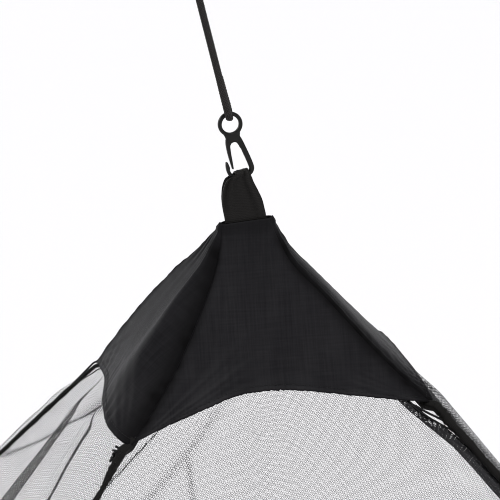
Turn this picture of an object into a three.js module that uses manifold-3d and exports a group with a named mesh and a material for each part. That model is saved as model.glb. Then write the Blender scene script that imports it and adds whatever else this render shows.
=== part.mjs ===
// Mosquito net tent hung from one point: cord, snap hook, webbing loop, woven cap, net walls, corner tapes.
// Millimetres, +Z up. The origin is the inside crown of the cord's top loop, which a ceiling hook holds.
// X runs along the long side of the floor hem, Y from the front wall to the back wall.
import * as THREE from 'three';
import { mergeVertices } from 'three/addons/utils/BufferGeometryUtils.js';
import Module from 'manifold-3d';

const wasm = await Module();
wasm.setup();

// Driving dimensions
const SEAT_GAP = 0.3;
const NET_THICKNESS = 1;
const CAP_THICKNESS = 1.2;
const WEBBING_THICKNESS = 1.5;

const CORD_DIAMETER = 5;
const CORD_LEAN = 13.7;
const CORD_SIDES = 10;
const CORD_STEPS = 66;
const LOOP_STEPS = 36;

const RING_DISTANCE = 160;
const RING_OUTER = 8.7;
const RING_INNER = 6;
const HOOK_LEAN = 11.2;
const HOOK_THICKNESS = 4;

// The middle of the cap's top rim, below and to the right of the hanging point because the cord leans
const PEAK = new THREE.Vector3(49.8, 0, -225.7);
const RIM_TILT = 5;
const RIM_RISE = 1.4;

// Floor hem: a rectangle below the peak, whose middle lies off to the right and behind it
const BASE_WIDTH = 2100;
const BASE_DEPTH = 1400;
const BASE_DROP = 1300;
const BASE_SHIFT = { x: 73, y: 144 };

// Corners of the cap, measured from the peak, and where each seam starts along the rim. Sag is how far a seam
// hangs in below its chord, negative where it stands out of it. Neck draws it in further just below the rim.
const CORNERS = [
  { name: 'front_left', rimX: -18, sideY: -1, x: -96, y: -61, z: -137, capSag: 14, neck: 3.4, netSag: 0 },
  { name: 'front_right', rimX: 15.5, sideY: -1, x: 126, y: -40, z: -128.7, capSag: 6.5, neck: 7, netSag: 3 },
  { name: 'back_right', rimX: 18, sideY: 1, x: 119, y: 79, z: -111, capSag: 4, neck: 4.5, netSag: 8 },
  { name: 'back_left', rimX: -18, sideY: 1, x: -95, y: 87.5, z: -122, capSag: -5, neck: 2.5, netSag: -6 },
];
const NECK_AT = 0.16;
const NECK_SPREAD = 0.15;

// Panels, each from its left corner to its right corner as seen from outside. A cap panel bulges most at its
// crest.
const PANELS = [
  { name: 'front', left: 0, right: 1, capBulge: -2, capCrest: 0.5, netSag: 25 },
  { name: 'right', left: 1, right: 2, capBulge: 4.2, capCrest: 0.5, netSag: 4 },
  { name: 'back', left: 2, right: 3, capBulge: 2, capCrest: 0.5, netSag: 25 },
  { name: 'left', left: 3, right: 0, capBulge: 11, capCrest: 0.7, netSag: 20 },
];

// The cap's hem on each panel: places across the panel, and how far down its seams the hem lies there
const HEMS = {
  front: [
    [0, 1], [0.05, 0.955], [0.11, 0.912], [0.22, 0.862], [0.33, 0.818],
    [0.42, 0.811], [0.55, 0.827], [0.72, 0.883], [0.9, 0.958], [1, 1],
  ],
  right: [[0, 1], [0.2, 1], [0.5, 0.985], [0.8, 0.99], [1, 1]],
  back: [[0, 1], [0.25, 0.915], [0.5, 0.89], [0.75, 0.915], [1, 1]],
  left: [
    [0, 1], [0.15, 0.985], [0.33, 0.965], [0.45, 0.975],
    [0.64, 0.995], [0.8, 1.016], [0.93, 1.012], [1, 1],
  ],
};

// Soft folds of the cap, deepest halfway down: place across the panel at the rim (top) and at the hem (foot),
// half width as a share of the panel, and height
const CAP_FOLDS = [
  { panel: 'left', top: 0.88, foot: 0.61, spread: 0.16, height: 6 },
  { panel: 'front', top: 0.24, foot: 0.11, spread: 0.06, height: -1.8 },
  { panel: 'front', top: 0.66, foot: 0.72, spread: 0.14, height: 2.5 },
  { panel: 'back', top: 0.45, foot: 0.38, spread: 0.14, height: 3 },
];

// Folds of the net, from the cap's hem (top) to where each one dies out (foot, that share of the wall down)
const NET_FOLDS = [
  { panel: 'left', top: 0.3, foot: 0.42, down: 0.3, spread: 0.06, height: 8 },
  { panel: 'left', top: 0.56, foot: 0.85, down: 0.22, spread: 0.05, height: 5 },
  { panel: 'front', top: 0.1, foot: 0.03, down: 0.2, spread: 0.035, height: 5 },
  { panel: 'front', top: 0.24, foot: 0.16, down: 0.35, spread: 0.05, height: 6 },
  { panel: 'front', top: 0.9, foot: 0.95, down: 0.3, spread: 0.035, height: 7 },
  { panel: 'right', top: 0.4, foot: 0.5, down: 0.4, spread: 0.25, height: 5 },
  { panel: 'back', top: 0.84, foot: 0.95, down: 0.3, spread: 0.05, height: 8 },
  { panel: 'back', top: 0.45, foot: 0.42, down: 0.35, spread: 0.06, height: 7 },
];

const CAP_SEAM_INSET = 1;
const NET_TUCK = 8;
const FOLD_START = 0.02;
const ROW_CROWDING = 1.9;
const TAPE_TOP_RADIUS = 4.6;
const TAPE_RADIUS = 2.6;
const TAPE_TAPER = 70;
const TAPE_START = 4;
const TAPE_SIDES = 8;
const TAPE_STEPS = 18;

const CAP_GRID = { rows: 12, columns: 31 };
const NET_GRID = { rows: 14, columns: 21 };

// Colours
const COLOURS = { net: 0x2a292b, cap: 0x232224, webbing: 0x1e1c1b, cord: 0x2d292a, hook: 0x232323 };

const UP = new THREE.Vector3(0, 0, 1);
const radians = THREE.MathUtils.degToRad;
const mix = THREE.MathUtils.lerp;
const bell = (offset, spread) => Math.exp(-((offset / spread) ** 2));
const arch = (share) => 4 * share * (1 - share);

function fabric(colour, roughness) {
  return new THREE.MeshStandardMaterial({ color: colour, roughness, metalness: 0 });
}

function named(name, geometry, material) {
  const mesh = new THREE.Mesh(geometry, material);
  mesh.name = name;
  return mesh;
}

// Closed solids from grids and shapes

function triangles(positions, index) {
  const geometry = new THREE.BufferGeometry();
  geometry.setAttribute('position', new THREE.Float32BufferAttribute(positions, 3));
  geometry.setIndex(index);
  geometry.computeVertexNormals();
  return geometry;
}

function gridNormal(grid, row, column) {
  const lastRow = grid.length - 1;
  const lastColumn = grid[0].length - 1;
  const across = grid[row][Math.min(column + 1, lastColumn)].clone();
  across.sub(grid[row][Math.max(column - 1, 0)]);
  const down = grid[Math.min(row + 1, lastRow)][column].clone();
  down.sub(grid[Math.max(row - 1, 0)][column]);
  return down.cross(across).normalize();
}

// A sheet: a grid of middle points, seen from outside with rows going down, thickened both ways and closed
function sheetGeometry(grid, thickness) {
  const rows = grid.length;
  const columns = grid[0].length;
  const positions = [];
  for (const side of [1, -1]) {
    grid.forEach((line, row) => line.forEach((point, column) => {
      const offset = gridNormal(grid, row, column).multiplyScalar((side * thickness) / 2);
      positions.push(...point.clone().add(offset).toArray());
    }));
  }
  const outer = (row, column) => row * columns + column;
  const inner = (row, column) => rows * columns + outer(row, column);
  const index = [];
  const quad = (a, b, c, d) => index.push(a, b, c, a, c, d);
  for (let row = 0; row < rows - 1; row += 1) {
    for (let column = 0; column < columns - 1; column += 1) {
      quad(outer(row, column), outer(row + 1, column), outer(row + 1, column + 1), outer(row, column + 1));
      quad(inner(row, column), inner(row, column + 1), inner(row + 1, column + 1), inner(row + 1, column));
    }
  }
  const edge = [];
  for (let row = 0; row < rows - 1; row += 1) edge.push([row, 0]);
  for (let column = 0; column < columns - 1; column += 1) edge.push([rows - 1, column]);
  for (let row = rows - 1; row > 0; row -= 1) edge.push([row, columns - 1]);
  for (let column = columns - 1; column > 0; column -= 1) edge.push([0, column]);
  edge.forEach((here, step) => {
    const next = edge[(step + 1) % edge.length];
    quad(outer(...next), outer(...here), inner(...here), inner(...next));
  });
  return triangles(positions, index);
}

// A rod through rings of points, each turning right-handed about the way the rod runs, closed at both ends
function rodGeometry(rings) {
  const sides = rings[0].length;
  const positions = rings.flat().flatMap((point) => point.toArray());
  const index = [];
  for (let ring = 0; ring < rings.length - 1; ring += 1) {
    for (let side = 0; side < sides; side += 1) {
      const a = ring * sides + side;
      const b = ring * sides + ((side + 1) % sides);
      index.push(a, b, b + sides, a, b + sides, a + sides);
    }
  }
  const last = (rings.length - 1) * sides;
  for (let side = 1; side < sides - 1; side += 1) {
    index.push(0, side + 1, side);
    index.push(last, last + side, last + side + 1);
  }
  return triangles(positions, index);
}

function solidOf(geometry) {
  const bare = geometry.index ? geometry.toNonIndexed() : geometry.clone();
  bare.deleteAttribute('normal');
  bare.deleteAttribute('uv');
  const merged = mergeVertices(bare, 1e-4);
  return new wasm.Manifold(new wasm.Mesh({
    numProp: 3,
    vertProperties: new Float32Array(merged.attributes.position.array),
    triVerts: new Uint32Array(merged.index.array),
  }));
}

function geometryOf(solid) {
  const mesh = solid.getMesh();
  return triangles(Array.from(mesh.vertProperties), Array.from(mesh.triVerts));
}

// Cord: a short end behind the ring, a turn under the ring's bar, and the run up to the knot.
// Points are in the cord's own frame, which leans with it: x across, y back, z up along the cord.
const RING_BAR_Z = -(RING_DISTANCE - (RING_OUTER + RING_INNER) / 2);
const LEG_Y = HOOK_THICKNESS / 2 + SEAT_GAP + CORD_DIAMETER / 2;
// The bar bends down beside the cord, so the turn under it is a little deeper than the seat
const BAR_BEND = 0.8;
const TURN_DEPTH = (RING_OUTER - RING_INNER) / 2 + BAR_BEND + SEAT_GAP + CORD_DIAMETER / 2;
const KNOT_TOP = -38;
const KNOT_HEIGHT = 11;
const KNOT_RADIUS = 6;
const KNOT_WRAPS = 3;
const KNOT_RIDGE = 0.7;
const KNOT_SIDES = 16;
const KNOT_SAMPLES = 18;
const LOOP_HALF_WIDTH = 9;

const CORD_ROUTE = [
  [1.1, 2.8, RING_BAR_Z + 26],
  [1.5, 3.7, RING_BAR_Z + 15],
  [2, LEG_Y, RING_BAR_Z + 4],
  [1.9, LEG_Y * 0.98, RING_BAR_Z - TURN_DEPTH * 0.4],
  [1.4, LEG_Y * 0.72, RING_BAR_Z - TURN_DEPTH * 0.88],
  [0.6, 0, RING_BAR_Z - TURN_DEPTH * 1.02],
  [0, -LEG_Y * 0.72, RING_BAR_Z - TURN_DEPTH * 0.88],
  [-0.3, -LEG_Y * 0.98, RING_BAR_Z - TURN_DEPTH * 0.4],
  [-0.4, -LEG_Y, RING_BAR_Z + 4],
  [-0.3, -3.7, RING_BAR_Z + 15],
  [-0.1, -2.8, RING_BAR_Z + 26],
  [0, -1.4, RING_BAR_Z + 48],
  [0, -0.4, RING_BAR_Z + 70],
  [0, 0, RING_BAR_Z + 90],
  [0, 0, KNOT_TOP - KNOT_HEIGHT - SEAT_GAP],
];

const LOOP_ROUTE = [
  [-2.9, 0, KNOT_TOP + SEAT_GAP],
  [-5.2, 0, KNOT_TOP + 8],
  [-LOOP_HALF_WIDTH, 0, KNOT_TOP + 21],
  [-LOOP_HALF_WIDTH * 0.86, 0, KNOT_TOP + 33],
  [-LOOP_HALF_WIDTH * 0.46, 0, CORD_DIAMETER * 0.32],
  [0, 0, CORD_DIAMETER / 2],
  [LOOP_HALF_WIDTH * 0.46, 0, CORD_DIAMETER * 0.32],
  [LOOP_HALF_WIDTH * 0.86, 0, KNOT_TOP + 33],
  [LOOP_HALF_WIDTH, 0, KNOT_TOP + 21],
  [5.2, 0, KNOT_TOP + 8],
  [2.9, 0, KNOT_TOP + SEAT_GAP],
];

function cordTube(route, steps) {
  const section = new THREE.Shape();
  for (let side = 0; side < CORD_SIDES; side += 1) {
    const angle = (2 * Math.PI * side) / CORD_SIDES;
    const x = (CORD_DIAMETER / 2) * Math.cos(angle);
    const y = (CORD_DIAMETER / 2) * Math.sin(angle);
    if (side === 0) section.moveTo(x, y);
    else section.lineTo(x, y);
  }
  section.closePath();
  const path = new THREE.CatmullRomCurve3(route.map((point) => new THREE.Vector3(...point)));
  return new THREE.ExtrudeGeometry(section, { steps, bevelEnabled: false, extrudePath: path });
}

function knotGeometry() {
  const profile = [new THREE.Vector2(0, KNOT_TOP - KNOT_HEIGHT)];
  for (let sample = 0; sample <= KNOT_SAMPLES; sample += 1) {
    const share = sample / KNOT_SAMPLES;
    const ridge = KNOT_RIDGE * Math.abs(Math.sin(Math.PI * KNOT_WRAPS * share));
    const radius = (KNOT_RADIUS - KNOT_RIDGE) * Math.sqrt(mix(0.36, 1, arch(share))) + ridge;
    profile.push(new THREE.Vector2(radius, KNOT_TOP - KNOT_HEIGHT * (1 - share)));
  }
  profile.push(new THREE.Vector2(0, KNOT_TOP));
  return new THREE.LatheGeometry(profile, KNOT_SIDES).rotateX(Math.PI / 2);
}

function cordGroup() {
  const group = new THREE.Group();
  group.rotation.y = -radians(CORD_LEAN);
  const material = () => fabric(COLOURS.cord, 0.8);
  group.add(named('cord', cordTube(CORD_ROUTE, CORD_STEPS), material()));
  group.add(named('cord_knot', knotGeometry(), material()));
  group.add(named('cord_loop', cordTube(LOOP_ROUTE, LOOP_STEPS), material()));
  return group;
}

// Snap hook: one flat moulding in its own plane, x across and y up from the middle of the ring

// The leg runs from the neck down, along the bar that the webbing hangs on, and up into the nose
const HOOK_LEG = [
  { x: 4.6, y: -12.4, width: 3.6 },
  { x: 6.2, y: -20, width: 3.7 },
  { x: 8.5, y: -30.5, width: 3.7 },
  { x: 8.8, y: -34, width: 3.5 },
  { x: 7, y: -36.7, width: 3.3 },
  { x: 3, y: -37.3, width: 3.2 },
  { x: -2, y: -37.4, width: 3.2 },
  { x: -5.9, y: -36.4, width: 3.1 },
  { x: -7.6, y: -33.2, width: 2.5 },
  { x: -7.7, y: -29.5, width: 2.8 },
  { x: -7.8, y: -26.6, width: 1.7 },
];

const HOOK_TONGUE = [
  { x: -4.6, y: -14.5, width: 2.8 },
  { x: -4.75, y: -20, width: 2.2 },
  { x: -4.5, y: -26.5, width: 1.7 },
  { x: -4.35, y: -31, width: 1.1 },
];

// The neck spreads from the ring, and the arch of the frame's opening is cut into its foot
const HOOK_NECK = { ringAngle: 30, shoulderY: -6.8, waistY: -10.8, halfWidth: 5.3, footY: -16, footX: -6 };
const HOOK_ARCH = { leftX: -3.2, rightX: 3, topY: -13.1, rightY: -13.8 };

function hookSlab(shape) {
  const options = { depth: HOOK_THICKNESS, bevelEnabled: false, curveSegments: 36 };
  return new THREE.ExtrudeGeometry(shape, options).translate(0, 0, -HOOK_THICKNESS / 2);
}

// A bar of changing width along a smooth line, with round ends
function strokeShape(rows) {
  const line = new THREE.SplineCurve(rows.map((row) => new THREE.Vector2(row.x, row.y)));
  const samples = (rows.length - 1) * 4;
  const left = [];
  const right = [];
  for (let sample = 0; sample <= samples; sample += 1) {
    const along = (sample / samples) * (rows.length - 1);
    const row = Math.min(Math.floor(along), rows.length - 2);
    const half = mix(rows[row].width, rows[row + 1].width, along - row) / 2;
    const point = line.getPoint(sample / samples);
    const way = line.getTangent(sample / samples);
    const side = new THREE.Vector2(-way.y, way.x).multiplyScalar(half);
    left.push(point.clone().add(side));
    right.push(point.clone().sub(side));
    if (sample === 0) left.unshift(point.clone().addScaledVector(way, -half * 0.8));
    if (sample === samples) left.push(point.clone().addScaledVector(way, half * 0.8));
  }
  return new THREE.Shape([...left, ...right.reverse()]);
}

function ringShape() {
  const ring = new THREE.Shape();
  ring.absarc(0, 0, RING_OUTER, 0, 2 * Math.PI);
  const eye = new THREE.Path();
  eye.absarc(0, 0, RING_INNER, 0, 2 * Math.PI, true);
  ring.holes.push(eye);
  return ring;
}

function neckShape() {
  const { ringAngle, shoulderY, waistY, halfWidth, footY, footX } = HOOK_NECK;
  const barMiddle = (RING_OUTER + RING_INNER) / 2;
  const ringX = barMiddle * Math.cos(radians(ringAngle));
  const ringY = -barMiddle * Math.sin(radians(ringAngle));
  const neck = new THREE.Shape();
  neck.absarc(0, 0, barMiddle, radians(180 + ringAngle), radians(360 - ringAngle));
  neck.quadraticCurveTo(halfWidth, shoulderY, halfWidth, waistY);
  neck.lineTo(HOOK_ARCH.rightX, HOOK_ARCH.rightY);
  neck.quadraticCurveTo(HOOK_ARCH.leftX, HOOK_ARCH.topY, HOOK_ARCH.leftX, footY);
  neck.lineTo(footX, footY);
  neck.lineTo(-halfWidth, waistY);
  neck.quadraticCurveTo(-halfWidth, shoulderY, -ringX, ringY);
  return neck;
}

const RING_CENTRE = new THREE.Vector3(
  RING_DISTANCE * Math.sin(radians(CORD_LEAN)),
  0,
  -RING_DISTANCE * Math.cos(radians(CORD_LEAN)),
);

function hookGroup() {
  const shapes = [ringShape(), neckShape(), strokeShape(HOOK_LEG), strokeShape(HOOK_TONGUE)];
  const solid = shapes.map((shape) => solidOf(hookSlab(shape))).reduce((whole, piece) => whole.add(piece));
  const geometry = geometryOf(solid).rotateX(Math.PI / 2);
  const group = new THREE.Group();
  group.position.copy(RING_CENTRE);
  group.rotation.y = -radians(HOOK_LEAN);
  const plastic = new THREE.MeshStandardMaterial({ color: COLOURS.hook, roughness: 0.45, metalness: 0 });
  group.add(named('snap_hook', geometry, plastic));
  return group;
}

// Webbing loop: up the front, round the hook's bar and down the back, bunched where it passes the hook.
// Edges are measured from the peak, and gap is the distance of each leg from the middle plane.
const WEBBING_ROWS = [
  { leftX: -15.2, leftZ: -12, rightX: 13.2, rightZ: -10, gap: 1 },
  { leftX: -15.7, leftZ: 1.4, rightX: 13.4, rightZ: 4, gap: 1 },
  { leftX: -17.2, leftZ: 10.5, rightX: 12.2, rightZ: 9.8, gap: 1.3 },
  { leftX: -17.9, leftZ: 17.6, rightX: 10.4, rightZ: 16.4, gap: 1.8 },
  { leftX: -17.6, leftZ: 23.3, rightX: 7.2, rightZ: 23.4, gap: 2.3 },
  { leftX: -16.4, leftZ: 28, rightX: 4, rightZ: 29.6, gap: 3.1 },
  { leftX: -14.4, leftZ: 31.6, rightX: 2.6, rightZ: 33.2, gap: 3.25 },
];
// Over the bar the loop turns squarely (1 would be a round turn), only as wide as the hook lets it be
const CROWN = { leftX: -9, leftZ: 32.8, rightX: 0.6, rightZ: 35, halfDepth: 3.3, height: 3 };
const CROWN_SQUARENESS = 0.62;
const CROWN_SPREAD = 1.6;
const CROWN_ANGLES = [18, 42, 66, 90, 114, 138, 162];
const WEBBING_COLUMNS = 7;
const WEBBING_STEPS = 40;

function webbingEdges() {
  const legRow = (row, side) => ({
    left: [row.leftX, side * row.gap, row.leftZ],
    right: [row.rightX, side * row.gap, row.rightZ],
  });
  const crownRow = (degrees) => {
    const angle = radians(degrees);
    const squared = (value) => Math.sign(value) * Math.abs(value) ** CROWN_SQUARENESS;
    const y = -CROWN.halfDepth * squared(Math.cos(angle));
    const lift = CROWN.height * squared(Math.sin(angle));
    const wider = Math.max(0, CROWN_SPREAD * (1 - 2 * Math.sin(angle)));
    return {
      left: [CROWN.leftX - wider, y, CROWN.leftZ + lift],
      right: [CROWN.rightX + wider, y, CROWN.rightZ + lift],
    };
  };
  return [
    ...WEBBING_ROWS.map((row) => legRow(row, -1)),
    ...CROWN_ANGLES.map(crownRow),
    ...WEBBING_ROWS.map((row) => legRow(row, 1)).reverse(),
  ];
}

function webbingLoop() {
  const rows = webbingEdges();
  const curve = (side) => new THREE.CatmullRomCurve3(rows.map((row) => new THREE.Vector3(...row[side])));
  const left = curve('left');
  const right = curve('right');
  const grid = [];
  for (let step = 0; step <= WEBBING_STEPS; step += 1) {
    const share = 1 - step / WEBBING_STEPS;
    const a = left.getPoint(share);
    const b = right.getPoint(share);
    const line = [];
    for (let column = 0; column < WEBBING_COLUMNS; column += 1) {
      line.push(b.clone().lerp(a, column / (WEBBING_COLUMNS - 1)).add(PEAK));
    }
    grid.push(line);
  }
  return named('hanging_loop', sheetGeometry(grid, WEBBING_THICKNESS), fabric(COLOURS.webbing, 0.85));
}

// Corner seams, from the rim to the cap's corner and on down to the floor hem

const RIM_HALF_DEPTH = 1 + WEBBING_THICKNESS / 2 + SEAT_GAP + CAP_THICKNESS / 2;

function rimCorner(corner) {
  const tilt = radians(RIM_TILT);
  const offset = new THREE.Vector3(
    corner.rimX * Math.cos(tilt),
    corner.sideY * RIM_HALF_DEPTH,
    RIM_RISE + corner.rimX * Math.sin(tilt),
  );
  return PEAK.clone().add(offset);
}

function capCorner(corner) {
  return PEAK.clone().add(new THREE.Vector3(corner.x, corner.y, corner.z));
}

function baseCorner(corner) {
  return PEAK.clone().add(new THREE.Vector3(
    BASE_SHIFT.x + (Math.sign(corner.rimX) * BASE_WIDTH) / 2,
    BASE_SHIFT.y + (corner.sideY * BASE_DEPTH) / 2,
    -BASE_DROP,
  ));
}

// A point on a seam between two ends, dipping in towards the tent and down from its chord
function seamPoint(start, end, dip, share) {
  const chord = end.clone().sub(start);
  const side = new THREE.Vector3().crossVectors(chord, UP);
  const inward = new THREE.Vector3().crossVectors(chord, side).normalize();
  return start.clone().lerp(end, share).addScaledVector(inward, dip);
}

function capSeam(corner, share) {
  const dip = arch(share) * (corner.capSag + corner.neck * bell(share - NECK_AT, NECK_SPREAD));
  return seamPoint(rimCorner(corner), capCorner(corner), dip, share);
}

function netSeam(corner, share) {
  return seamPoint(capCorner(corner), baseCorner(corner), corner.netSag * arch(share), share);
}

// Cap panels

// How far down the seams the hem lies, straight between the places in its table
function hemShare(panel, across) {
  const hem = HEMS[panel.name];
  const next = Math.max(1, hem.findIndex(([place]) => place >= across));
  const [place, share] = hem[next - 1];
  const [nextPlace, nextShare] = hem[next];
  return mix(share, nextShare, (across - place) / (nextPlace - place));
}

function outwardOf(panel) {
  const across = capCorner(CORNERS[panel.right]).sub(capCorner(CORNERS[panel.left]));
  const down = capCorner(CORNERS[panel.left]).sub(rimCorner(CORNERS[panel.left]));
  return down.cross(across).normalize();
}

// A point of the cap, across the panel from 0 to 1 and down its seams from 0 at the rim to 1 at the corners
function capPoint(panel, across, down) {
  const left = capSeam(CORNERS[panel.left], down);
  const right = capSeam(CORNERS[panel.right], down);
  let height = panel.capBulge * Math.sin((Math.PI / 2) * down);
  for (const fold of CAP_FOLDS.filter((row) => row.panel === panel.name)) {
    const offset = across - mix(fold.top, fold.foot, down);
    height += fold.height * Math.sin(Math.PI * down) * bell(offset, fold.spread);
  }
  height *= arch(across ** (Math.log(0.5) / Math.log(panel.capCrest)));
  return left.lerp(right, across).addScaledVector(outwardOf(panel), height);
}

function capPanel(panel) {
  const grid = [];
  for (let row = 0; row < CAP_GRID.rows; row += 1) {
    const line = [];
    for (let column = 0; column < CAP_GRID.columns; column += 1) {
      const share = column / (CAP_GRID.columns - 1);
      const down = (row / (CAP_GRID.rows - 1)) * hemShare(panel, share);
      const width = capPoint(panel, 1, down).distanceTo(capPoint(panel, 0, down));
      const inset = CAP_SEAM_INSET / width;
      line.push(capPoint(panel, mix(inset, 1 - inset, share), down));
    }
    grid.push(line);
  }
  return named(`cap_${panel.name}`, sheetGeometry(grid, CAP_THICKNESS), fabric(COLOURS.cap, 0.6));
}

// Net walls

const NET_BEHIND_CAP = CAP_THICKNESS / 2 + 1.5 * SEAT_GAP + NET_THICKNESS / 2;

function tapeRadius(distance) {
  return mix(TAPE_TOP_RADIUS, TAPE_RADIUS, Math.min(1, distance / TAPE_TAPER));
}

function netFoldHeight(panel, across, down) {
  let height = 0;
  for (const fold of NET_FOLDS.filter((row) => row.panel === panel.name)) {
    const reach = Math.min(1, down / fold.down);
    const middle = mix(fold.top, fold.foot, reach);
    const rise = Math.min(1, down / FOLD_START);
    height += fold.height * rise * (1 - reach) ** 0.7 * bell(across - middle, fold.spread);
  }
  return height * Math.min(1, 3 * arch(across));
}

// A point of the wall, across from seam to seam and down from 0 at the cap's hem to 1 at the floor hem
function netPoint(panel, across, down) {
  const left = CORNERS[panel.left];
  const right = CORNERS[panel.right];
  const outward = outwardOf(panel);
  const point = netSeam(left, down).lerp(netSeam(right, down), across);
  const hem = capPoint(panel, across, hemShare(panel, across)).addScaledVector(outward, -NET_BEHIND_CAP);
  const hemOffset = hem.sub(capCorner(left).lerp(capCorner(right), across));
  const height = netFoldHeight(panel, across, down) - panel.netSag * arch(across) * arch(down);
  return point.addScaledVector(hemOffset, 1 - down).addScaledVector(outward, height);
}

// Shares of the wall's length where its rows lie, closer together near the cap
function netRows() {
  const rows = [];
  for (let row = 1; row < NET_GRID.rows; row += 1) {
    rows.push((row / (NET_GRID.rows - 1)) ** ROW_CROWDING);
  }
  return rows;
}

// How far a wall stops short of a corner seam, measured along its rows, so that it meets the tape's side
function tapeInset(corner, row, down) {
  const seam = netSeam(corner, Math.min(1, down + 0.01)).sub(netSeam(corner, Math.max(0, down - 0.01)));
  const length = capCorner(corner).distanceTo(baseCorner(corner));
  return (tapeRadius(down * length) + 2 * SEAT_GAP) / Math.sin(seam.angleTo(row));
}

function netColumn(panel, share, down) {
  const row = netPoint(panel, 1, down).sub(netPoint(panel, 0, down));
  const left = tapeInset(CORNERS[panel.left], row, down) / row.length();
  const right = tapeInset(CORNERS[panel.right], row, down) / row.length();
  return mix(left, 1 - right, share);
}

function netWall(panel) {
  const columns = [...Array(NET_GRID.columns).keys()].map((column) => column / (NET_GRID.columns - 1));
  const outward = outwardOf(panel);
  const tucked = (share, above) => {
    const across = netColumn(panel, share, 0);
    const seam = capSeam(CORNERS[panel.left], 0).distanceTo(capSeam(CORNERS[panel.left], 1));
    const point = capPoint(panel, across, hemShare(panel, across) - above / seam);
    return point.addScaledVector(outward, -NET_BEHIND_CAP);
  };
  const grid = [
    columns.map((share) => tucked(share, NET_TUCK)),
    columns.map((share) => tucked(share, 0)),
    ...netRows().map((down) => columns.map((share) => netPoint(panel, netColumn(panel, share, down), down))),
  ];
  return named(`net_${panel.name}`, sheetGeometry(grid, NET_THICKNESS), fabric(COLOURS.net, 0.9));
}

// Corner tapes: rolled seams between the walls, widest where they leave the cap

function cornerTape(corner) {
  const start = capCorner(corner);
  const length = start.distanceTo(baseCorner(corner));
  const rings = [];
  for (let step = 0; step <= TAPE_STEPS; step += 1) {
    const distance = mix(TAPE_START, length, (step / TAPE_STEPS) ** ROW_CROWDING);
    const share = distance / length;
    const middle = netSeam(corner, share);
    const way = netSeam(corner, Math.min(1, share + 0.01)).sub(netSeam(corner, Math.max(0, share - 0.01)));
    const side = new THREE.Vector3().crossVectors(way, UP).normalize();
    const out = new THREE.Vector3().crossVectors(way, side).normalize();
    const radius = tapeRadius(distance);
    const ring = [];
    for (let turn = 0; turn < TAPE_SIDES; turn += 1) {
      const angle = (2 * Math.PI * turn) / TAPE_SIDES;
      const point = middle.clone().addScaledVector(side, radius * Math.cos(angle));
      ring.push(point.addScaledVector(out, radius * Math.sin(angle)));
    }
    rings.push(ring);
  }
  return named(`tape_${corner.name}`, rodGeometry(rings), fabric(COLOURS.webbing, 0.85));
}

const tent = new THREE.Group();
tent.add(cordGroup());
tent.add(hookGroup());
tent.add(webbingLoop());
PANELS.forEach((panel) => tent.add(capPanel(panel)));
PANELS.forEach((panel) => tent.add(netWall(panel)));
CORNERS.forEach((corner) => tent.add(cornerTape(corner)));

export default tent;
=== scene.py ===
import math

import bpy
import numpy as np
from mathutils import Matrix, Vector


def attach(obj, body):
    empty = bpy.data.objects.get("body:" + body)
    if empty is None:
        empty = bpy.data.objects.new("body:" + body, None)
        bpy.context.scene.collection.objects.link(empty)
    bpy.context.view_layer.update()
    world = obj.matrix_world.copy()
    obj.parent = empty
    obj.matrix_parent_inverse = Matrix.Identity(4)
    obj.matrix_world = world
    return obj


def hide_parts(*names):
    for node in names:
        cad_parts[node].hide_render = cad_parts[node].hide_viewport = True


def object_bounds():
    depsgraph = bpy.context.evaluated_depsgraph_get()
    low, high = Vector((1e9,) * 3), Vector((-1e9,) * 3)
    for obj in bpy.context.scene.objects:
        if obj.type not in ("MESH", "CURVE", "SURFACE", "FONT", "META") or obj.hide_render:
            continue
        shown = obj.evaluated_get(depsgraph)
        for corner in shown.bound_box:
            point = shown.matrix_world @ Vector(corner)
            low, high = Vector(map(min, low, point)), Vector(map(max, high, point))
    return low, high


# Mosquito net tent: the looks of each piece, in metres, in the part's own frame.
# X runs along the long floor hem, Y from the front wall to the back wall, Z up from the hanging point.

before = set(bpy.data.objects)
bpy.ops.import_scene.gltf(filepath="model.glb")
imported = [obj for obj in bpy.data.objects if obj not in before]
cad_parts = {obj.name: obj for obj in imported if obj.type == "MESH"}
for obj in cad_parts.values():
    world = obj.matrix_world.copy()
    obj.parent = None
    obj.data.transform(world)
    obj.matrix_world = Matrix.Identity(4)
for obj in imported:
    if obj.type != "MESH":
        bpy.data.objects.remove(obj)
cad_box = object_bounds()


def table(columns, *rows):
    """Rows of values as dicts with the named columns. A row may leave out the last ones."""
    return [dict(zip(columns.split(), row)) for row in rows]


def picked(rows, column, value):
    return [row for row in rows if row[column] == value]


# Driving dimensions

PEAK = np.array([0.0498, 0.0, -0.2257])
RIM_HALF_DEPTH = 0.00265
RIM_TILT = math.radians(5)
RIM_RISE = 0.0014
BASE_WIDTH = 2.1
BASE_DEPTH = 1.4
BASE_DROP = 1.3
BASE_SHIFT = np.array([0.073, 0.144, 0.0])

CORD_DIAMETER = 0.005
CORD_LEAN = math.radians(13.7)
RING_DISTANCE = 0.16
RING_OUTER = 0.0087
RING_INNER = 0.006
HOOK_LEAN = math.radians(11.2)
HOOK_THICKNESS = 0.004
WEBBING_WIDTH = 0.029
WEBBING_THICKNESS = 0.0015
CAP_THICKNESS = 0.0008
NET_BEHIND_CAP = 0.00155

# Corners of the cap from the peak, and where each seam starts along the rim. Sag is how far a seam hangs in
# below its chord, and neck draws the cap's seam in further just below the rim.
CORNERS = table(
    "name rim_x side_y place cap_sag neck net_sag",
    ("front_left", -0.018, -1, (-0.096, -0.061, -0.137), 0.014, 0.0034, 0.0),
    ("front_right", 0.0155, -1, (0.126, -0.040, -0.1287), 0.0065, 0.0070, 0.003),
    ("back_right", 0.018, 1, (0.119, 0.079, -0.111), 0.004, 0.0045, 0.008),
    ("back_left", -0.018, 1, (-0.095, 0.0875, -0.122), -0.0050, 0.0025, -0.006),
)
NECK_AT = 0.16
NECK_SPREAD = 0.15

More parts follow.
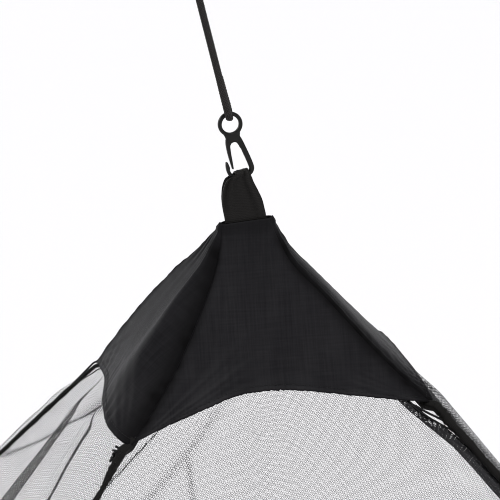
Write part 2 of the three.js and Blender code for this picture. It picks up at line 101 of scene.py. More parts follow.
# The tape rolled round each corner's seam, in the same order: its radius at the cap and further down, how
# soon it tapers, and how far it lies in from the seam. Edge is how far the doubled net stands out of it.
TAPES = table(
    "top foot taper inset edge",
    (0.0041, 0.0023, 0.028, -0.0030, 0.0030),
    (0.0042, 0.0030, 0.060, 0.0, 0.0030),
    (0.0030, 0.0026, 0.060, 0.0, 0.0035),
    (0.0015, 0.0017, 0.050, 0.0070, 0.0042),
)

# Panels from the left to the right corner as seen from outside, with their cap and net sizes laid flat.
# A cap panel bulges most at its crest. Close is how much a wall's threads close up where it hangs slack below
# the cap, turn the degrees that it is cut off the thread line, and seed sets its broad drape.
PANELS = table(
    "name left right cap_bulge cap_crest cap_flat cap_area net_sag close turn seed net_flat net_area",
    ("front", 0, 1, -0.002, 0.5, (0.225, 0.150), 0.0155, 0.025, 0.05, 16, 75, (2.14, 1.45), 1.53),
    ("right", 1, 2, 0.0042, 0.5, (0.135, 0.165), 0.0105, 0.004, 1.5, -28, 75, (1.44, 1.65), 1.22),
    ("back", 2, 3, 0.002, 0.5, (0.220, 0.155), 0.0172, 0.025, 0.1, 10, 74, (2.14, 1.60), 1.70),
    ("left", 3, 0, 0.011, 0.70, (0.165, 0.180), 0.0130, 0.020, 0.3, -21, 74, (1.44, 1.62), 1.20),
)

# The cap's hem on each panel: places across the panel, and how far down its seams the hem lies there
HEMS = {
    "front": [
        (0, 1), (0.05, 0.955), (0.11, 0.912), (0.22, 0.862), (0.33, 0.818),
        (0.42, 0.811), (0.55, 0.827), (0.72, 0.883), (0.9, 0.958), (1, 1),
    ],
    "right": [(0, 1), (0.2, 1), (0.5, 0.985), (0.8, 0.99), (1, 1)],
    "back": [(0, 1), (0.25, 0.915), (0.5, 0.89), (0.75, 0.915), (1, 1)],
    "left": [
        (0, 1), (0.15, 0.985), (0.33, 0.965), (0.45, 0.975),
        (0.64, 0.995), (0.8, 1.016), (0.93, 1.012), (1, 1),
    ],
}

# Soft folds of the cap: place across at the rim (top) and at the hem (foot), half width as a share, height
CAP_FOLDS = table(
    "panel top foot spread height",
    ("left", 0.88, 0.61, 0.16, 0.006),
    ("front", 0.24, 0.11, 0.06, -0.0018),
    ("front", 0.66, 0.72, 0.14, 0.0025),
    ("back", 0.45, 0.38, 0.14, 0.003),
)

# Soft ridges of the net walls, from the cap's hem (top) to where each one dies out (foot)
NET_FOLDS = table(
    "panel top foot down spread height",
    ("left", 0.30, 0.42, 0.30, 0.060, 0.008),
    ("left", 0.56, 0.85, 0.22, 0.050, 0.005),
    ("front", 0.10, 0.03, 0.20, 0.035, 0.005),
    ("front", 0.24, 0.16, 0.35, 0.050, 0.006),
    ("front", 0.90, 0.95, 0.30, 0.035, 0.007),
    ("right", 0.40, 0.50, 0.40, 0.250, 0.005),
    ("back", 0.84, 0.95, 0.30, 0.050, 0.008),
    ("back", 0.45, 0.42, 0.35, 0.060, 0.007),
)

# Pleats of the net. The path is places across the wall and the width half widths, each at a share of the wall
# down. Fold is how hard it folds, from rise to fade: up to 1 the net is drawn together, over 1 it doubles
# back. Bunch thickens its threads, within reach half widths of the path. A gathered band has ribs this far
# apart, and the net to its right is bare down to a share of the wall.
NET_PLEATS = table(
    "panel fold bunch rise fade path width reach ribs bare",
    (
        "left", 3.0, 1.9, (0.0, 0.010), (0.12, 0.22),
        [(0.0, 0.20), (0.004, 0.231), (0.012, 0.305), (0.023, 0.340), (0.05, 0.348), (0.22, 0.37)],
        [(0.0, 0.0006), (0.016, 0.0013), (0.03, 0.0027), (0.05, 0.0050), (0.08, 0.0088), (0.22, 0.024)],
    ),
    (
        "left", 2.4, 2.4, (0.004, 0.014), (0.08, 0.14),
        [(0.0, 0.50), (0.006, 0.555), (0.013, 0.631), (0.0305, 0.650), (0.049, 0.681), (0.14, 0.74)],
        [(0.0, 0.0040), (0.012, 0.0026), (0.02, 0.0017), (0.14, 0.0030)],
    ),
    (
        "front", 2.4, 4.0, (-0.002, 0.0), (0.019, 0.022),
        [(0.0, 0.077), (0.002, 0.070), (0.010, 0.039), (0.019, 0.014), (0.022, 0.006)],
        [(0.0, 0.0009), (0.010, 0.0017), (0.022, 0.0008)],
    ),
    (
        "front", 0.60, 1.7, (0.0, 0.006), (0.05, 0.09),
        [(0.0, 0.28), (0.012, 0.235), (0.021, 0.201), (0.04, 0.139), (0.09, 0.02)],
        [(0.0, 0.0036), (0.09, 0.0065)],
    ),
    (
        "front", 0.65, 2.2, (0.022, 0.030), (0.06, 0.09),
        [(0.02, 0.20), (0.029, 0.215), (0.049, 0.253), (0.09, 0.32)],
        [(0.0, 0.0012), (0.09, 0.0025)],
    ),
    (
        "front", 0.35, 0.35, (0.010, 0.020), (0.08, 0.20),
        [(0.0, 0.414), (0.057, 0.417), (0.2, 0.42)],
        [(0.0, 0.010), (0.2, 0.018)],
    ),
    (
        "front", 3.2, 8.0, (-0.01, 0.0), (0.10, 0.30),
        [(0.0, 0.922), (0.008, 0.935), (0.014, 0.952), (0.027, 0.978), (0.06, 0.984), (0.3, 0.992)],
        [(0.0, 0.0056), (0.008, 0.0068), (0.014, 0.0082), (0.03, 0.0082), (0.3, 0.010)],
        0.75, 0.0030, 0.0145,
    ),
    (
        "right", 0.60, 5.5, (-0.01, 0.0), (0.12, 0.30),
        [(0.0, 0.13), (0.02, 0.19), (0.045, 0.24), (0.09, 0.27), (0.3, 0.30)],
        [(0.0, 0.006), (0.3, 0.012)],
    ),
    (
        "right", 0.30, 6.0, (-0.01, 0.0), (0.10, 0.25),
        [(0.0, 0.05), (0.02, 0.07), (0.05, 0.09), (0.3, 0.14)],
        [(0.0, 0.0022), (0.3, 0.0045)],
    ),
    (
        "right", 0.30, 6.0, (-0.01, 0.0), (0.12, 0.30),
        [(0.0, 0.30), (0.03, 0.38), (0.06, 0.40), (0.3, 0.42)],
        [(0.0, 0.0025), (0.3, 0.0050)],
    ),
    (
        "right", 0.40, 0.1, (0.0, 0.02), (0.12, 0.30),
        [(0.0, 0.30), (0.3, 0.42)],
        [(0.0, 0.004), (0.3, 0.020)],
    ),
    (
        "back", 2.4, 3.2, (0.040, 0.055), (0.076, 0.080),
        [(0.045, 0.83), (0.0515, 0.841), (0.0575, 0.855), (0.061, 0.894), (0.067, 0.925), (0.078, 1.0)],
        [(0.045, 0.0070), (0.06, 0.0040), (0.08, 0.0030)],
    ),
    (
        "back", 0.40, 0.0, (0.0, 0.02), (0.10, 0.22),
        [(0.0, 0.42), (0.22, 0.34)],
        [(0.0, 0.004), (0.22, 0.022)],
    ),
)

# Small maths

UP = np.array([0.0, 0.0, 1.0])
WANDER_WAVES = 7
WANDER_STRETCH = (0.7, 1.6)


def unit(vectors):
    return vectors / np.linalg.norm(vectors, axis=-1, keepdims=True)


def mix(first, second, share):
    return first + (second - first) * share


def bell(offset, spread):
    return np.exp(-((offset / spread) ** 2))


def arch(share):
    return 4 * share * (1 - share)


def ease(value, start, end):
    share = np.clip((value - start) / (end - start), 0, 1)
    return share * share * (3 - 2 * share)


def wander(x, y, size, seed):
    """Smooth uneven ground, mostly between -1 and 1, with hollows about size apart."""
    draw = np.random.default_rng(seed)
    total = 0.0
    for _ in range(WANDER_WAVES):
        turn = draw.uniform(0, math.tau)
        pace = math.tau / (size * draw.uniform(*WANDER_STRETCH))
        start = draw.uniform(0, math.tau)
        total = total + np.sin(pace * (x * math.cos(turn) + y * math.sin(turn)) + start)
    return total / math.sqrt(WANDER_WAVES)


def smooth_line(points, per_span=24):
    """A curve through the points, centripetal so that close points make no loops."""
    points = np.asarray(points, float)
    ends = np.vstack([2 * points[0] - points[1], points, 2 * points[-1] - points[-2]])
    knots = np.concatenate([[0], np.cumsum(np.linalg.norm(np.diff(ends, axis=0), axis=1) ** 0.5)])
    spans = []
    for i in range(len(points) - 1):
        p = ends[i : i + 4]
        k = knots[i : i + 4]
        t = np.linspace(k[1], k[2], per_span, endpoint=False)[:, None]
        near = [mix(p[j], p[j + 1], (t - k[j]) / (k[j + 1] - k[j])) for j in range(3)]
        wide = [mix(near[j], near[j + 1], (t - k[j]) / (k[j + 2] - k[j])) for j in range(2)]
        spans.append(mix(wide[0], wide[1], (t - k[1]) / (k[2] - k[1])))
    return np.vstack([*spans, points[-1:]])


def lengths_along(line):
    return np.concatenate([[0], np.cumsum(np.linalg.norm(np.diff(line, axis=0), axis=1))])


def places_on(line, length, places):
    return np.stack([np.interp(places, length, line[:, axis]) for axis in range(3)], axis=1)


def even_line(points, step):
    """The same line with its points about one step apart, and how far along it they are."""
    length = lengths_along(points)
    places = np.linspace(0, length[-1], max(2, round(length[-1] / step) + 1))
    return places_on(points, length, places), places


def leaning(points, lean):
    """Turns upright points about the part's Y axis."""
    x, y, z = np.moveaxis(np.asarray(points, float), -1, 0)
    x, z = x * math.cos(lean) - z * math.sin(lean), x * math.sin(lean) + z * math.cos(lean)
    return np.stack([x, y, z], axis=-1)


def frames_along(path, first_side):
    """The side and out directions at each point of a path, turning as little as possible along it."""
    way = unit(np.gradient(path, axis=0))
    side = np.empty_like(path)
    last = np.asarray(first_side, float)
    for i, direction in enumerate(way):
        last = unit(last - direction * (last @ direction))
        side[i] = last
    return side, np.cross(way, side)


# Meshes

CLOTH_MAP = "cloth"


def grid_faces(rows, columns, closed=False):
    """Quads between a grid's points, facing out where rows go down and columns go right."""
    row, column = np.meshgrid(np.arange(rows - 1), np.arange(columns - (not closed)), indexing="ij")
    above = row * columns
    below = above + columns
    after = (column + 1) % columns
    quads = [above + column, below + column, below + after, above + after]
    return np.stack([quad.ravel() for quad in quads], axis=1)


def grid_normals(grid):
    return unit(np.cross(np.gradient(grid, axis=0), np.gradient(grid, axis=1)))


def closed_sheet(grid, thickness):
    """The points and faces of a sheet with two faces and an edge all round. Thickness may vary over it."""
    rows, columns = grid.shape[:2]
    half = grid_normals(grid) * thickness[..., None] / 2
    points = np.concatenate([(grid + half).reshape(-1, 3), (grid - half).reshape(-1, 3)])
    outer = grid_faces(rows, columns)
    inner = outer[:, ::-1] + rows * columns
    index = np.arange(rows * columns).reshape(rows, columns)
    rim = np.concatenate([index[:-1, 0], index[-1, :-1], index[:0:-1, -1], index[0, :0:-1]])
    after = np.roll(rim, -1)
    edge = np.stack([after, rim, rim + rows * columns, after + rows * columns], axis=1)
    return points, np.concatenate([outer, inner, edge]).tolist()


def tube_faces(rings, sides):
    body = grid_faces(rings, sides, closed=True)[:, ::-1].tolist()
    start = list(range(sides))[::-1]
    end = list(range((rings - 1) * sides, rings * sides))
    return [*body, start, end]


def tube(path, first_side, radii):
    """Points and faces of a closed tube along a path. Radii are per ring and side, turning right-handed."""
    side, out = frames_along(path, first_side)
    angle = np.linspace(0, math.tau, radii.shape[1], endpoint=False)[:, None]
    across = side[:, None] * np.cos(angle) + out[:, None] * np.sin(angle)
    return path[:, None] + across * radii[..., None], tube_faces(*radii.shape)


def rod(path, radius, sides, first_side):
    return tube(path, first_side, np.full((len(path), sides), radius))


def joined(blocks):
    """Points and faces of several shapes as one."""
    points = []
    faces = []
    start = 0
    for block_points, block_faces in blocks:
        points.append(np.reshape(block_points, (-1, 3)))
        faces += [[start + i for i in face] for face in block_faces]
        start += len(points[-1])
    return np.concatenate(points), faces


def new_object(name, data):
    thing = bpy.data.objects.new(name, data)
    bpy.context.scene.collection.objects.link(thing)
    return thing


def place_piece(name, mesh, material, node=None):
    """Puts a mesh in the scene as a piece of the part, in place of the node that it stands for."""
    mesh.shade_smooth()
    mesh.materials.clear()
    mesh.materials.append(material)
    piece = new_object(name, mesh)
    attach(piece, "root")
    if node:
        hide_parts(node)
    return piece


def new_piece(name, points, faces, material, slot, node=None, uv=None, **values):
    """A piece with its flat places, if given, and other values at its points."""
    mesh = bpy.data.meshes.new(name)
    mesh.from_pydata(np.reshape(points, (-1, 3)).tolist(), [], faces)
    if uv is not None:
        corners = np.empty(len(mesh.loops), np.int32)
        mesh.loops.foreach_get("vertex_index", corners)
        layer = mesh.uv_layers.new(name=CLOTH_MAP)
        layer.data.foreach_set("uv", np.asarray(uv, np.float32).reshape(-1, 2)[corners].ravel())
    for key, value in values.items():
        attribute = mesh.attributes.new(key, "FLOAT", "POINT")
        attribute.data.foreach_set("value", np.asarray(value, np.float32).ravel())
    return place_piece(name, mesh, material, node)


# Materials

# Colours of each material where it is dark and where it is pale, in linear red, green and blue
COLOURS = {
    "net": ((0.012, 0.012, 0.014), (0.024, 0.023, 0.025)),
    "cap": ((0.0105, 0.0102, 0.0116), (0.0180, 0.0174, 0.0192)),
    "webbing": ((0.0062, 0.0057, 0.0054), (0.0135, 0.0124, 0.0118)),
    "tape": ((0.0050, 0.0047, 0.0045), (0.0105, 0.0098, 0.0094)),
    "cord": ((0.006, 0.0055, 0.0055), (0.046, 0.040, 0.040)),
    "hook": ((0.0065, 0.0065, 0.0065), (0.011, 0.011, 0.011)),
    "thread": ((0.007, 0.007, 0.008), (0.014, 0.014, 0.015)),
}
# The colour of the shade painted into the cap's creases, along its seams, hem and rim
PAINTED_SHADE_COLOUR = (0.0035, 0.0033, 0.0036)
CAP_SHEEN = (0.82, 0.82, 0.95, 1.0)
FLOOR_COLOUR = (0.945, 0.938, 0.958, 1.0)
# The net: hexagons of thread, open between, a little uneven
NET_PITCH = 0.00175
NET_THREAD = 0.000185
NET_THREAD_EDGE = 0.25
NET_DRIFT = 0.1
CAP_PITCH = 0.00042
WEBBING_PITCH = 0.0012
TAPE_PITCH = 0.0009


class Value:
    """An output in a node tree, which can be added, scaled and mixed like a plain number or place."""

    def __init__(self, tree, kind, settings=(), inputs=(), output=0):
        self.tree = tree
        node = tree.nodes.new(kind)
        for key, value in dict(settings).items():
            setattr(node, key, value)
        for key, value in dict(inputs).items():
            if isinstance(value, Value):
                tree.links.new(value.socket, node.inputs[key])
            else:
                node.inputs[key].default_value = value
        self.socket = node.outputs[output]

    def maths(self, operation, *others):
        inputs = dict(enumerate((self, *others)))
        return Value(self.tree, "ShaderNodeMath", dict(operation=operation), inputs)

    def __add__(self, other):
        return self.maths("ADD", other)

    def __mul__(self, other):
        return self.maths("MULTIPLY", other)

    def vector_maths(self, operation, *others, output="Vector"):
        inputs = dict(enumerate((self, *others)))
        return Value(self.tree, "ShaderNodeVectorMath", dict(operation=operation), inputs, output)

    def dot(self, direction):
        return self.vector_maths("DOT_PRODUCT", direction, output="Value")

    def scaled(self, *factors):
        """The place times one factor, or one for each axis."""
        return self.vector_maths("MULTIPLY", factors * 3 if len(factors) == 1 else factors)

    def wave(self, axis):
        """A sine wave along one axis."""
        return Value(self.tree, "ShaderNodeSeparateXYZ", inputs={0: self}, output=axis).maths("SINE")

    def noise(self, scale=1.0, detail=2.0, roughness=0.5, output="Fac"):
        inputs = {"Vector": self, "Scale": scale, "Detail": detail, "Roughness": roughness}
        return Value(self.tree, "ShaderNodeTexNoise", inputs=inputs, output=output)

    def remapped(self, low, high, to_low=0.0, to_high=1.0, kind="LINEAR"):
        inputs = {"Value": self, "From Min": low, "From Max": high, "To Min": to_low, "To Max": to_high}
        return Value(self.tree, "ShaderNodeMapRange", dict(interpolation_type=kind), inputs, "Result")

    def blended(self, dark, pale):
        """Mixes two colours by this share. The mix node takes them in its sockets 6 and 7."""
        colours = [colour if isinstance(colour, Value) else (*colour, 1.0) for colour in (dark, pale)]
        inputs = dict(zip((0, 6, 7), (self, *colours)))
        return Value(self.tree, "ShaderNodeMix", dict(data_type="RGBA"), inputs, 2)

    def bumped(self, strength, distance):
        inputs = {"Height": self, "Strength": strength, "Distance": distance}
        return Value(self.tree, "ShaderNodeBump", inputs=inputs, output="Normal")


def vertex_value(tree, name):
    return Value(tree, "ShaderNodeAttribute", dict(attribute_name=name), output="Fac")


def cloth_place(tree):
    return Value(tree, "ShaderNodeUVMap", dict(uv_map=CLOTH_MAP), output="UV")


def object_place(tree):
    return Value(tree, "ShaderNodeTexCoord", output="Object")


def new_material(name, **settings):
    """A material whose shader has these plain values. Underscores stand for the spaces in their names."""
    material = bpy.data.materials.new(name)
    material.use_nodes = True
    shader = next(node for node in material.node_tree.nodes if node.type == "BSDF_PRINCIPLED")
    for key, value in settings.items():
        shader.inputs[key.replace("_", " ")].default_value = value
    return material, material.node_tree, shader


def feed(shader, **values):
    for key, value in values.items():
        value.tree.links.new(value.socket, shader.inputs[key.replace("_", " ")])


def hexagon_edge(place):
    """Distance to the nearest edge of a hexagon grid, in pitches, from 0 on the edge to 0.5 in the middle."""
    repeat = (1.0, math.sqrt(3.0), 1.0)
    half = tuple(side / 2 for side in repeat)
    far = tuple(-side / 2 for side in repeat)
    reach = []
    for lattice in (place, place.vector_maths("SUBTRACT", half)):
        cell = lattice.vector_maths("WRAP", half, far).vector_maths("ABSOLUTE")
        slant = cell.dot((0.5, math.sqrt(0.75), 0.0))
        reach.append(slant.maths("MAXIMUM", cell.dot((1.0, 0.0, 0.0))))
    return reach[0].maths("MINIMUM", reach[1]) * -1.0 + 0.5


def net_material():
    material, tree, shader = new_material("net_mesh", Roughness=0.7, Specular_IOR_Level=0.2)
    place = cloth_place(tree)
    drift = place.noise(14.0, detail=1.0, output="Color").vector_maths("SUBTRACT", (0.5, 0.5, 0.5))
    place = place.scaled(1 / NET_PITCH)
    edge = hexagon_edge(place.vector_maths("ADD", drift.scaled(NET_DRIFT)))
    edge = edge.maths("DIVIDE", vertex_value(tree, "bunch") + 1.0)
    half = NET_THREAD / NET_PITCH / 2
    thread = edge.remapped(half * (1 - NET_THREAD_EDGE), half * (1 + NET_THREAD_EDGE), 1.0, 0.0, "SMOOTHSTEP")
    tone = place.noise(0.8).remapped(0.3, 0.7)
    feed(shader, Alpha=thread, Base_Color=tone.blended(*COLOURS["net"]))
    return material


def cap_material():
    """Fine plain weave with a dull shine, a little streaky along both threads, with painted shade in its
    creases.
    """
    material, tree, shader = new_material(
        "cap_weave",
        Specular_IOR_Level=0.04,
        Sheen_Weight=0.02,
        Sheen_Roughness=0.4,
        Sheen_Tint=CAP_SHEEN,
    )
    place = cloth_place(tree)
    turns = place.scaled(math.tau / CAP_PITCH)
    weave = turns.wave("X") * turns.wave("Y")
    warp = place.scaled(800.0, 24.0, 1.0).noise(detail=3.0, roughness=0.6)
    weft = place.scaled(30.0, 700.0, 1.0).noise(detail=3.0, roughness=0.6)
    cloud = place.scaled(60.0, 14.0, 1.0).noise()
    streak = weft * 0.4 + warp * 0.6
    tone = (streak * 0.7 + cloud * 0.3).remapped(0.38, 0.62)
    # The crease attribute paints shade: a darker colour and duller cloth in the creases and along the hem and
    # rim
    crease = vertex_value(tree, "crease")
    feed(
        shader,
        Base_Color=crease.blended(tone.blended(*COLOURS["cap"]), PAINTED_SHADE_COLOUR),
        Roughness=crease * 0.4 + streak.remapped(0.35, 0.65, 0.36, 0.46),
        Normal=(weave * 0.4 + streak * 1.4).bumped(0.35, 0.00012),
    )
    return material


def ribbed_material(name, colours, pitch, roughness):
    """Narrow woven tape: ribs across, each a row of slanting picks."""
    material, tree, shader = new_material(
        name, Specular_IOR_Level=0.11, Sheen_Weight=0.03, Sheen_Roughness=0.5
    )
    place = cloth_place(tree)
    turns = place.scaled(math.tau / pitch)
    pick = turns.dot((1.0, 1.0, 0.0)).maths("SINE")
    fibre = place.scaled(2600.0, 700.0, 1.0).noise()
    height = pick * 0.4 + turns.wave("Y") * 0.6 + fibre
    feed(
        shader,
        # The colour follows the weave's height: painted shade in the hollows between ribs and picks, with
        # random fibre tone
        Base_Color=height.remapped(-0.6, 1.6).blended(*colours),
        Roughness=fibre.remapped(0.3, 0.7, roughness - 0.06, roughness + 0.06),
        Normal=height.bumped(0.5, 0.00018),
    )
    return material


def cord_material():
    """Braid: painted shade in the gaps between strands, paler toward their crowns."""
    material, tree, shader = new_material("cord_braid", Specular_IOR_Level=0.2, Sheen_Weight=0.05)
    place = object_place(tree)
    fibre = place.noise(2400.0, detail=3.0, roughness=0.6)
    # Painted shade: the colour darkens from the strands' crowns down into the gaps between them
    braid_gap_shade = vertex_value(tree, "crown").remapped(0.35, 0.95)
    tone = (fibre * 0.5 + place.noise(420.0) * 0.5).remapped(0.35, 0.65, 0.35, 1.0) * braid_gap_shade
    feed(
        shader,
        Base_Color=tone.blended(*COLOURS["cord"]),
        Roughness=fibre.remapped(0.3, 0.7, 0.6, 0.8),
        Normal=fibre.bumped(0.5, 0.00015),
    )
    return material


def plastic_material():
    material, tree, shader = new_material("hook_plastic", Specular_IOR_Level=0.18)
    place = object_place(tree)
    flow = place.noise(220.0)
    feed(
        shader,
        Base_Color=flow.remapped(0.35, 0.65).blended(*COLOURS["hook"]),
        Roughness=flow.remapped(0.3, 0.7, 0.30, 0.42),
        Normal=place.noise(1900.0).bumped(0.25, 0.0001),
    )
    return material


def thread_material():
    material, tree, shader = new_material("sewing_thread", Roughness=0.6, Specular_IOR_Level=0.15)
    twist = object_place(tree).noise(3500.0, detail=1.0)
    feed(shader, Base_Color=twist.blended(*COLOURS["thread"]), Normal=twist.bumped(0.4, 0.0001))
    return material


NET = net_material()
CAP = cap_material()
WEBBING = ribbed_material("webbing_weave", COLOURS["webbing"], WEBBING_PITCH, 0.56)
TAPE = ribbed_material("tape_weave", COLOURS["tape"], TAPE_PITCH, 0.75)
CORD = cord_material()
PLASTIC = plastic_material()
THREAD = thread_material()

# Camera: 1.5 m in front of the peak, a little to its left and above, aimed at the middle of the picture

VIEW_TURN = math.radians(12.4)
VIEW_FALL = math.radians(13.9)
VIEW_DISTANCE = 1.5
VIEW_RIGHT = 0.0021
VIEW_BELOW = 0.0196
LENS = 154.3
NEAREST = 0.05
FARTHEST = 200


def aim_camera():
    level = math.cos(VIEW_FALL)
    forward = Vector((math.sin(VIEW_TURN) * level, math.cos(VIEW_TURN) * level, -math.sin(VIEW_FALL)))
    right = Vector((math.cos(VIEW_TURN), -math.sin(VIEW_TURN), 0))
    peak = Vector(PEAK)
    target = peak + right * VIEW_RIGHT - right.cross(forward) * VIEW_BELOW
    camera = new_object("camera", bpy.data.cameras.new("camera"))
    camera.location = peak - forward * VIEW_DISTANCE
    camera.rotation_mode = "QUATERNION"
    camera.rotation_quaternion = (target - camera.location).to_track_quat("-Z", "Y")
    camera.data.lens = LENS
    camera.data.clip_start = NEAREST
    camera.data.clip_end = FARTHEST
    bpy.context.scene.camera = camera


aim_camera()

# Cord: a short end behind the ring, a turn under the ring's bar, and the run up to the knot.
# Points are in the cord's own leaning frame: x across, y back, z up along the cord.

BAR_Z = -(RING_DISTANCE - (RING_OUTER + RING_INNER) / 2)
LEG_Y = 0.0046
TURN_X = 0.0006
TURN_DEPTH = 0.0031
KNOT_TOP = -0.038
KNOT_HEIGHT = 0.011
KNOT_RADIUS = 0.006
KNOT_WRAPS = 3
LOOP_HALF_WIDTH = 0.009
SEAT_GAP = 0.0003

CORD_ROUTE = [
    (0.0011, 0.0028, BAR_Z + 0.026),
    (0.0015, 0.0037, BAR_Z + 0.015),
    (0.0020, LEG_Y, BAR_Z + 0.004),
    (0.0019, LEG_Y * 0.94, BAR_Z - TURN_DEPTH * 0.2),
    (0.0014, LEG_Y * 0.62, BAR_Z - TURN_DEPTH * 0.85),
    (TURN_X, 0.0, BAR_Z - TURN_DEPTH * 1.02),
    (0.0, -LEG_Y * 0.62, BAR_Z - TURN_DEPTH * 0.85),
    (-0.0003, -LEG_Y * 0.94, BAR_Z - TURN_DEPTH * 0.2),
    (-0.0004, -LEG_Y, BAR_Z + 0.004),
    (-0.0003, -0.0037, BAR_Z + 0.015),
    (-0.0001, -0.0028, BAR_Z + 0.026),
    (0.0, -0.0014, BAR_Z + 0.048),
    (0.0, -0.0004, BAR_Z + 0.070),
    (0.0, 0.0, BAR_Z + 0.090),
    (0.0, 0.0, KNOT_TOP - KNOT_HEIGHT - SEAT_GAP),
]
LOOP_HALF = [
    (0.0029, 0.0, KNOT_TOP + SEAT_GAP),
    (0.0052, 0.0, KNOT_TOP + 0.008),
    (LOOP_HALF_WIDTH, 0.0, KNOT_TOP + 0.021),
    (LOOP_HALF_WIDTH * 0.86, 0.0, KNOT_TOP + 0.033),
    (LOOP_HALF_WIDTH * 0.46, 0.0, CORD_DIAMETER * 0.32),
]
LOOP_CROWN = (0.0, 0.0, CORD_DIAMETER / 2)
LOOP_ROUTE = [*[(-x, y, z) for x, y, z in LOOP_HALF], LOOP_CROWN, *LOOP_HALF[::-1]]

BRAID_STRANDS = 8
BRAID_SIDES = 56
BRAID_STEP = 0.00026
BRAID_RELIEF = 0.00048
CORD_CORE = CORD_DIAMETER / 2 - BRAID_RELIEF * 0.8
STRAND_ROUNDNESS = 0.6
STRAND_DIP = 0.55
TURN_FLATTEN = 0.40
TURN_REACH = 0.0055
ROUTE_STRIDE = 8
KNOT_ROWS = 90
KNOT_SIDES = 72
KNOT_END = 0.30
KNOT_GROOVE = 0.0011
KNOT_BRAID = 0.00014


def braid_height(angle, along, radius):
    """Strands of two helices that pass over and under each other, from 0 in the gaps to 1 on the crowns."""
    right = BRAID_STRANDS * (angle + along / radius) / math.tau
    left = BRAID_STRANDS * (angle - along / radius) / math.tau
    over = (np.floor(right) + np.floor(left)) % 2 == 0
    right = np.sin(math.pi * (right % 1))
    left = np.sin(math.pi * (left % 1))
    across = np.where(over, right, left)
    lengthwise = np.where(over, left, right)
    return across**STRAND_ROUNDNESS * mix(STRAND_DIP, 1.0, lengthwise)


def build_braid(name, route, node):
    """A braided cord along the route, flatter where it turns under the ring's bar."""
    path, along = even_line(smooth_line(leaning(route, CORD_LEAN)), BRAID_STEP)
    turn = leaning((TURN_X, 0.0, BAR_Z - TURN_DEPTH), CORD_LEAN)
    turned = bell(np.linalg.norm(path - turn, axis=1), TURN_REACH)[:, None]
    angle = np.linspace(0, math.tau, BRAID_SIDES, endpoint=False)
    crown = braid_height(angle, along[:, None], CORD_DIAMETER / 2)
    flat = 1 - turned * TURN_FLATTEN * np.sin(angle) ** 2
    points, faces = tube(path, (1.0, 0.0, 0.0), (CORD_CORE + BRAID_RELIEF * crown) * flat)
    # The braid's height goes with the piece, for the shade that the material paints in the gaps
    return path, new_piece(name, points, faces, CORD, "cord", node, crown=crown)


def build_knot():
    """Three turns of the cord drawn tight round itself, narrower at both ends."""
    share = np.linspace(0, 1, KNOT_ROWS)[:, None]
    angle = np.linspace(0, math.tau, KNOT_SIDES, endpoint=False)
    wrap = np.abs(np.sin(math.pi * (KNOT_WRAPS * share - angle / math.tau))) ** STRAND_ROUNDNESS
    barrel = np.sqrt(mix(KNOT_END, 1.0, arch(share)))
    crown = braid_height(angle, share * KNOT_HEIGHT, KNOT_RADIUS)
    radii = (KNOT_RADIUS - KNOT_GROOVE * (1 - wrap)) * barrel + KNOT_BRAID * crown
    z = KNOT_TOP - KNOT_HEIGHT * (1 - share) + 0 * angle
    rings = leaning(np.stack([radii * np.cos(angle), radii * np.sin(angle), z], axis=-1), CORD_LEAN)
    faces = tube_faces(KNOT_ROWS, KNOT_SIDES)
    # The grooves between the wraps get the same painted shade as the gaps of the braid
    return new_piece("cord_knot_wraps", rings, faces, CORD, "cord", "cord_knot", crown=crown * wrap)


def build_cord():
    path, cord = build_braid("cord_braid", CORD_ROUTE, "cord")
    loop = build_braid("cord_loop_braid", LOOP_ROUTE, "cord_loop")[1]
    knot = build_knot()
    path[::ROUTE_STRIDE].tolist() + path[-1:].tolist()


build_cord()

# Snap hook: bars of changing width in the hook's own plane, melted into one moulding.
# Rows are x across, y up from the middle of the ring, then the bar's width.

HOOK_LEG = [
    (0.0033, -0.0092, 0.0028),
    (0.0044, -0.0126, 0.0034),
    (0.0062, -0.0200, 0.0037),
    (0.0085, -0.0305, 0.0037),
    (0.0088, -0.0340, 0.0035),
    (0.0070, -0.0367, 0.0033),
    (0.0030, -0.0373, 0.0032),
    (-0.0020, -0.0374, 0.0032),
    (-0.0059, -0.0364, 0.0031),
    (-0.0076, -0.0332, 0.0025),
    (-0.0077, -0.0295, 0.0028),
    (-0.0078, -0.0266, 0.0017),
]
HOOK_TONGUE = [
    (-0.0042, -0.0108, 0.0026),
    (-0.0045, -0.0140, 0.0030),
    (-0.0047, -0.0200, 0.0026),
    (-0.0045, -0.0265, 0.0019),
    (-0.00435, -0.0310, 0.0012),
]
# The rounded top of the window between the leg and the tongue
HOOK_ARCH = [
    (-0.0045, -0.0170, 0.0024),
    (-0.0040, -0.0142, 0.0026),
    (-0.0022, -0.0122, 0.0026),
    (0.0004, -0.0118, 0.0026),
    (0.0026, -0.0126, 0.0028),
    (0.0041, -0.0150, 0.0030),
    (0.0049, -0.0176, 0.0028),
]
HOOK_NECK = [
    (0.0, -0.0062, 0.0122),
    (0.0, -0.0075, 0.0112),
    (0.0, -0.0092, 0.0104),
    (0.0, -0.0122, 0.0104),
]
HOOK_VOXEL = 0.00022
HOOK_SMOOTHING = 6
HOOK_SECTION_SIDES = 28
HOOK_SQUARENESS = 3.2
HOOK_SPAN_STEPS = 10
# The sections that round off a bar's end: shares of its width, and the least share of its thickness
END_SIZES = np.array([0.35, 0.75, 0.95])
END_THINNEST = 0.6
RING_STEPS = 72
PARTING_HALF_WIDTH = 0.00022
PARTING_HEIGHT = 0.00007


def bar_section(width, thickness):
    """A rounded rectangle: half widths round a closed curve."""
    angle = np.linspace(0, math.tau, HOOK_SECTION_SIDES, endpoint=False)
    corner = np.stack([np.cos(angle), np.sin(angle)], axis=1)
    reach = (np.abs(corner) ** HOOK_SQUARENESS).sum(axis=1) ** (-1 / HOOK_SQUARENESS)
    return corner * reach[:, None] * np.array([width, thickness]) / 2


